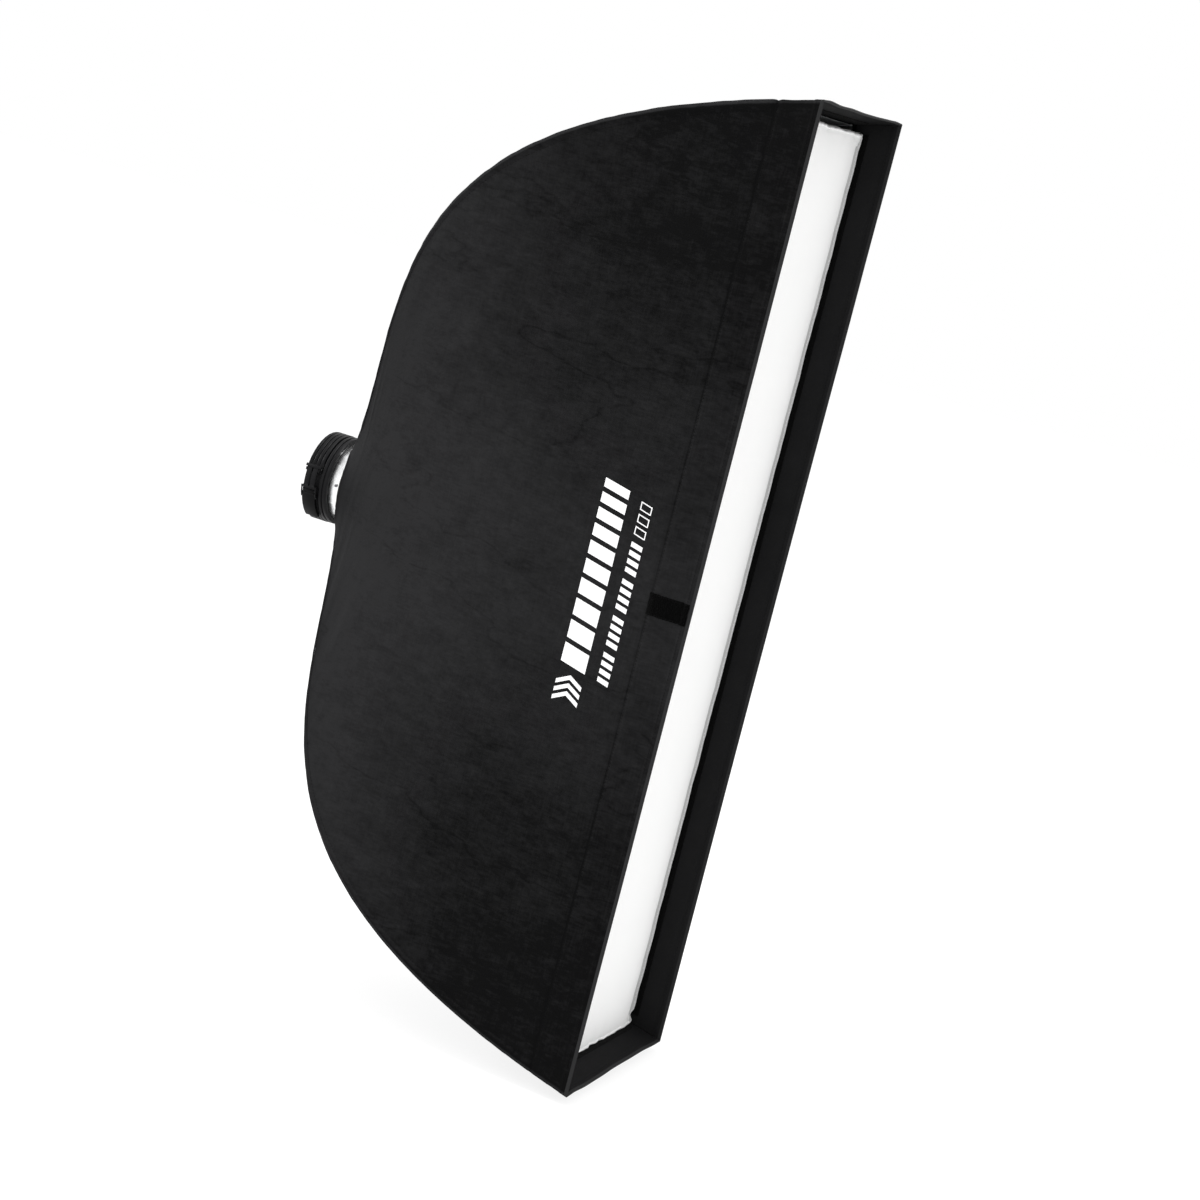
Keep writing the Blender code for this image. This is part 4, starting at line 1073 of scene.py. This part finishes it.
def inner_diffuser():
    """The inner baffle: drawn towards its tabs, hanging in soft curves between them, with a double hem."""
    half = (INNER_HIGH[0] - 0.0004, INNER_HIGH[2] - 0.0004)
    x, z, distance, way_x, way_z, edge_x, edge_z = rounded_net(half, 0.020, 0.0100)
    beside = np.minimum(np.abs(np.abs(edge_z) - SIDE_TAB_Z), SIDE_TAB_Z) / SIDE_TAB_Z
    scallop = 0.0055 * np.sin(np.clip(beside, 0, 1) * math.pi / 2) ** 1.5 * (np.abs(way_x) > 0.5)
    shift = (scallop * np.abs(way_x) + 0.0008) * np.exp(-distance / 0.035)
    tabs = [(x_sign * half[0], z_sign * SIDE_TAB_Z) for x_sign in (-1, 1) for z_sign in (-1, 1)]
    tabs += [(0.0, -half[1]), (0.0, half[1])]
    pull = sum(np.exp(-np.hypot(x - tx, z - tz) / 0.050) for tx, tz in tabs)
    height = 0.0010 * noise(151, 0.014, edge_x, edge_z) * pull
    height = height + 0.0012 * noise(153, (0.06, 0.09), x, z) * ramp(distance, 0.0, 0.03)
    height -= 0.0025 * ramp(distance, 0.0, 0.08)
    middle = (INNER_LOW[1] + INNER_HIGH[1]) / 2 - 0.0002 + height
    thick = 0.0003 + 0.0003 * (1 - ramp(distance, 0.0098, 0.0110))
    spread = x - way_x * shift, z - way_z * shift
    top, bottom = (np.stack([spread[0], y, spread[1]], axis=-1) for y in (middle + thick, middle - thick))
    piece = slab("inner_diffuser_cloth", top, bottom, white_cloth(), top[..., (0, 2)])
    finish_piece(piece, "softbox", "white_cloth", "inner_diffuser")
    hem_stitches("inner_diffuser_stitches", top, np.zeros_like(top) + (0.0, 1.0, 0.0), 0.0088, "softbox")


SNAP = ((0.0, 0.0011), (0.0022, 0.0010), (0.0036, 0.0006), (0.0040, 0.0001), (0.0040, -0.0001))  # radius, Y


def diffuser_tab(node):
    """A ribbed webbing strap from the inner diffuser to the lining. Returns the snap on its inner end."""
    low, high = (np.array(c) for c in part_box(node))
    middle, size = (low + high) / 2, high - low
    run = 0 if size[0] > size[2] else 2
    length, width, outer_end = size[run], size[2 - run], np.sign(middle[run])
    u = np.linspace(0, length, max(12, int(length / 0.0018)))[:, None]
    v = np.linspace(-0.5, 0.5, 15)[None, :] * width * 0.97
    u, v = np.broadcast_arrays(u, v)
    start = middle[run] - outer_end * length / 2
    sag = 0.0004 * np.sin(u / length * math.pi)
    ribs = 0.00008 * np.cos(v / width * 2 * math.pi * 9)
    thick = 0.00042 * (1 - 0.4 * bell(np.abs(v) - width * 0.485, 0.0007)) + ribs
    top, bottom = np.empty((2, *u.shape, 3))
    for net, y in ((top, middle[1] - sag + thick), (bottom, middle[1] - sag - thick)):
        net[..., run], net[..., 1], net[..., 2 - run] = start + outer_end * u, y, middle[2 - run] + v
    piece = slab(node.replace("diffuser_tab", "tab"), top, bottom, webbing())
    finish_piece(piece, "softbox", "black_webbing", node)
    centre = middle.copy()
    centre[run], centre[1] = start + outer_end * 0.009, top[4, 7, 1]
    return button(centre)


def button(centre, steps=28):
    """A snap turned round an axis along Y, from its middle out to its underside."""
    angle = np.linspace(0, 2 * math.pi, steps, endpoint=False)
    points = [centre + (0.0, SNAP[0][1], 0.0)]
    for radius, y in SNAP[1:]:
        points += [centre + (radius * math.cos(a), y, radius * math.sin(a)) for a in angle]
    underside = tuple(range(len(points) - steps, len(points)))
    return np.array(points), spindle_faces(steps, len(SNAP) - 1) + [underside]


def inner_tabs():
    """The inner diffuser's webbing tabs and their snaps."""
    nodes = [f"diffuser_tab_{a}_{b}" for a in SIDES for b in ENDS] + [f"diffuser_tab_{b}" for b in ENDS]
    snaps = [diffuser_tab(node) for node in nodes]
    piece = joined("tab_snaps", snaps, moulded("snap_plastic", (0.02, 0.02, 0.02), 0.4))
    finish_piece(piece, "softbox", "black_plastic")


# ---- Rod pockets
def rod_pocket(corner):
    """A sewn webbing pocket over a rod's front end: a flattened tube with a folded, closed tip."""
    node = f"rod_pocket_{corner}"
    places = np.array([v.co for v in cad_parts[node].data.vertices])
    centre = places.mean(axis=0)
    axis = np.linalg.svd(places - centre)[2][0]
    axis *= np.sign(axis[1])
    reach = (places - centre) @ axis
    low, high = reach.min(), reach.max()
    beside = unit(np.cross(axis, (1.0, 0.0, 0.0)))
    above = np.cross(beside, axis)
    stations, sides = np.linspace(0, 1, 18), 28
    angle = np.linspace(0, 2 * math.pi, sides, endpoint=False)
    rings = []
    for share, thick in [(s, 0.0) for s in stations] + [(s, 0.0008) for s in stations[-2::-1]]:
        pinch = ramp(share, 0.84, 1.0)
        wide, flat = 0.00440 - 0.0002 * pinch, 0.00440 - 0.0030 * pinch
        wave = 0.00010 * np.sin(6 * angle + 9 * share)
        across = (wide - thick) * np.cos(angle) + wave * np.cos(angle)
        up = max(flat - thick, 0.0003) * np.sin(angle) + wave * np.sin(angle) * (1 - pinch)
        middle = centre + axis * (low + (high - low) * share)
        rings.append(middle + across[:, None] * beside + up[:, None] * above)
    outer, count = len(stations) * sides, len(rings) * sides
    faces = net_faces(len(stations), sides, closed=True)
    faces += net_faces(len(stations) - 1, sides, outer, closed=True)
    faces += [tuple(range(outer - sides, outer)), tuple(range(outer, outer + sides))]
    faces += band(range(count - sides, count), range(sides))
    piece = new_piece(f"pocket_{corner}", np.concatenate(rings), faces, webbing())
    finish_piece(piece, "softbox", "black_tape", node)


# ---- The hard parts
def finish_hardware():
    """Materials, soft edges and smooth shading for the hard parts, which keep their CAD shapes."""
    pin = plain_metal("pin_steel", (0.34, 0.35, 0.37), 0.32)
    washer = moulded("washer_plastic", (0.84, 0.84, 0.82), 0.50, 900.0)
    kinds = (  # the start of the node's name, its material and the width of its bevel
        ("adapter_neck", turned_metal("neck_aluminium", (0.90, 0.905, 0.91), 0.22), 0.0002),
        ("rod_socket", turned_metal("socket_aluminium", (0.55, 0.56, 0.58), 0.32), 0.0002),
        ("socket_screw", plain_metal("screw_steel", (0.40, 0.41, 0.43), 0.34), 0.0001),
        ("neck_stop_screw", plain_metal("stop_screw", (0.16, 0.16, 0.17), 0.40), 0.0001),
        ("retaining_ring", plain_metal("ring_steel", (0.40, 0.41, 0.43), 0.30), 0.00015),
        ("latch_pivot_pin", pin, 0.0001),
        ("latch_link_pin", pin, 0.0001),
        ("rod_", plain_metal("rod_steel", (0.34, 0.35, 0.37), 0.36), 0.0),
        ("rear_washer", washer, 0.0002),
        ("front_washer", washer, 0.0002),
        ("head_liner", moulded("rubber", (0.012, 0.012, 0.012), 0.85, 700.0, 0.0001), 0.0002),
        ("clamp_sleeve", moulded("sleeve_plastic", (0.0060, 0.0060, 0.0065), 0.42), 0.0003),
        ("clamp_band", moulded("band_plastic", (0.0048, 0.0048, 0.0052), 0.38), 0.0003),
        ("latch_lever", moulded("lever_plastic", (0.0026, 0.0026, 0.0028), 0.55), 0.0004),
        ("latch_link", moulded("link_plastic", (0.0055, 0.0055, 0.0060), 0.42), 0.0002),
        ("speedring_body", moulded("ring_plastic", (0.0080, 0.0080, 0.0085), 0.50), 0.0005),
    )
    for name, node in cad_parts.items():
        if node.hide_render:
            continue
        surface, bevel = next((surface, width) for start, surface, width in kinds if name.startswith(start))
        if node.data.materials:
            node.data.materials[0] = surface
        else:
            node.data.materials.append(surface)
        node.data.shade_smooth()
        weld = node.modifiers.new("weld", "WELD")
        weld.merge_threshold = 0.00001
        if bevel:
            edges = node.modifiers.new("soft_edges", "BEVEL")
            edges.width, edges.segments = bevel, 2
            edges.limit_method, edges.angle_limit = "ANGLE", math.radians(30)
            edges.harden_normals = True


camera()
studio()
floor()
cover()
lining()
rear_hem()
lip_tapes()
loop_patches()
cover_stitches()
side_print()
front_diffuser()
inner_diffuser()
inner_tabs()
for side in SIDES:
    for end in ENDS:
        rod_pocket(f"{side}_{end}")
finish_hardware()
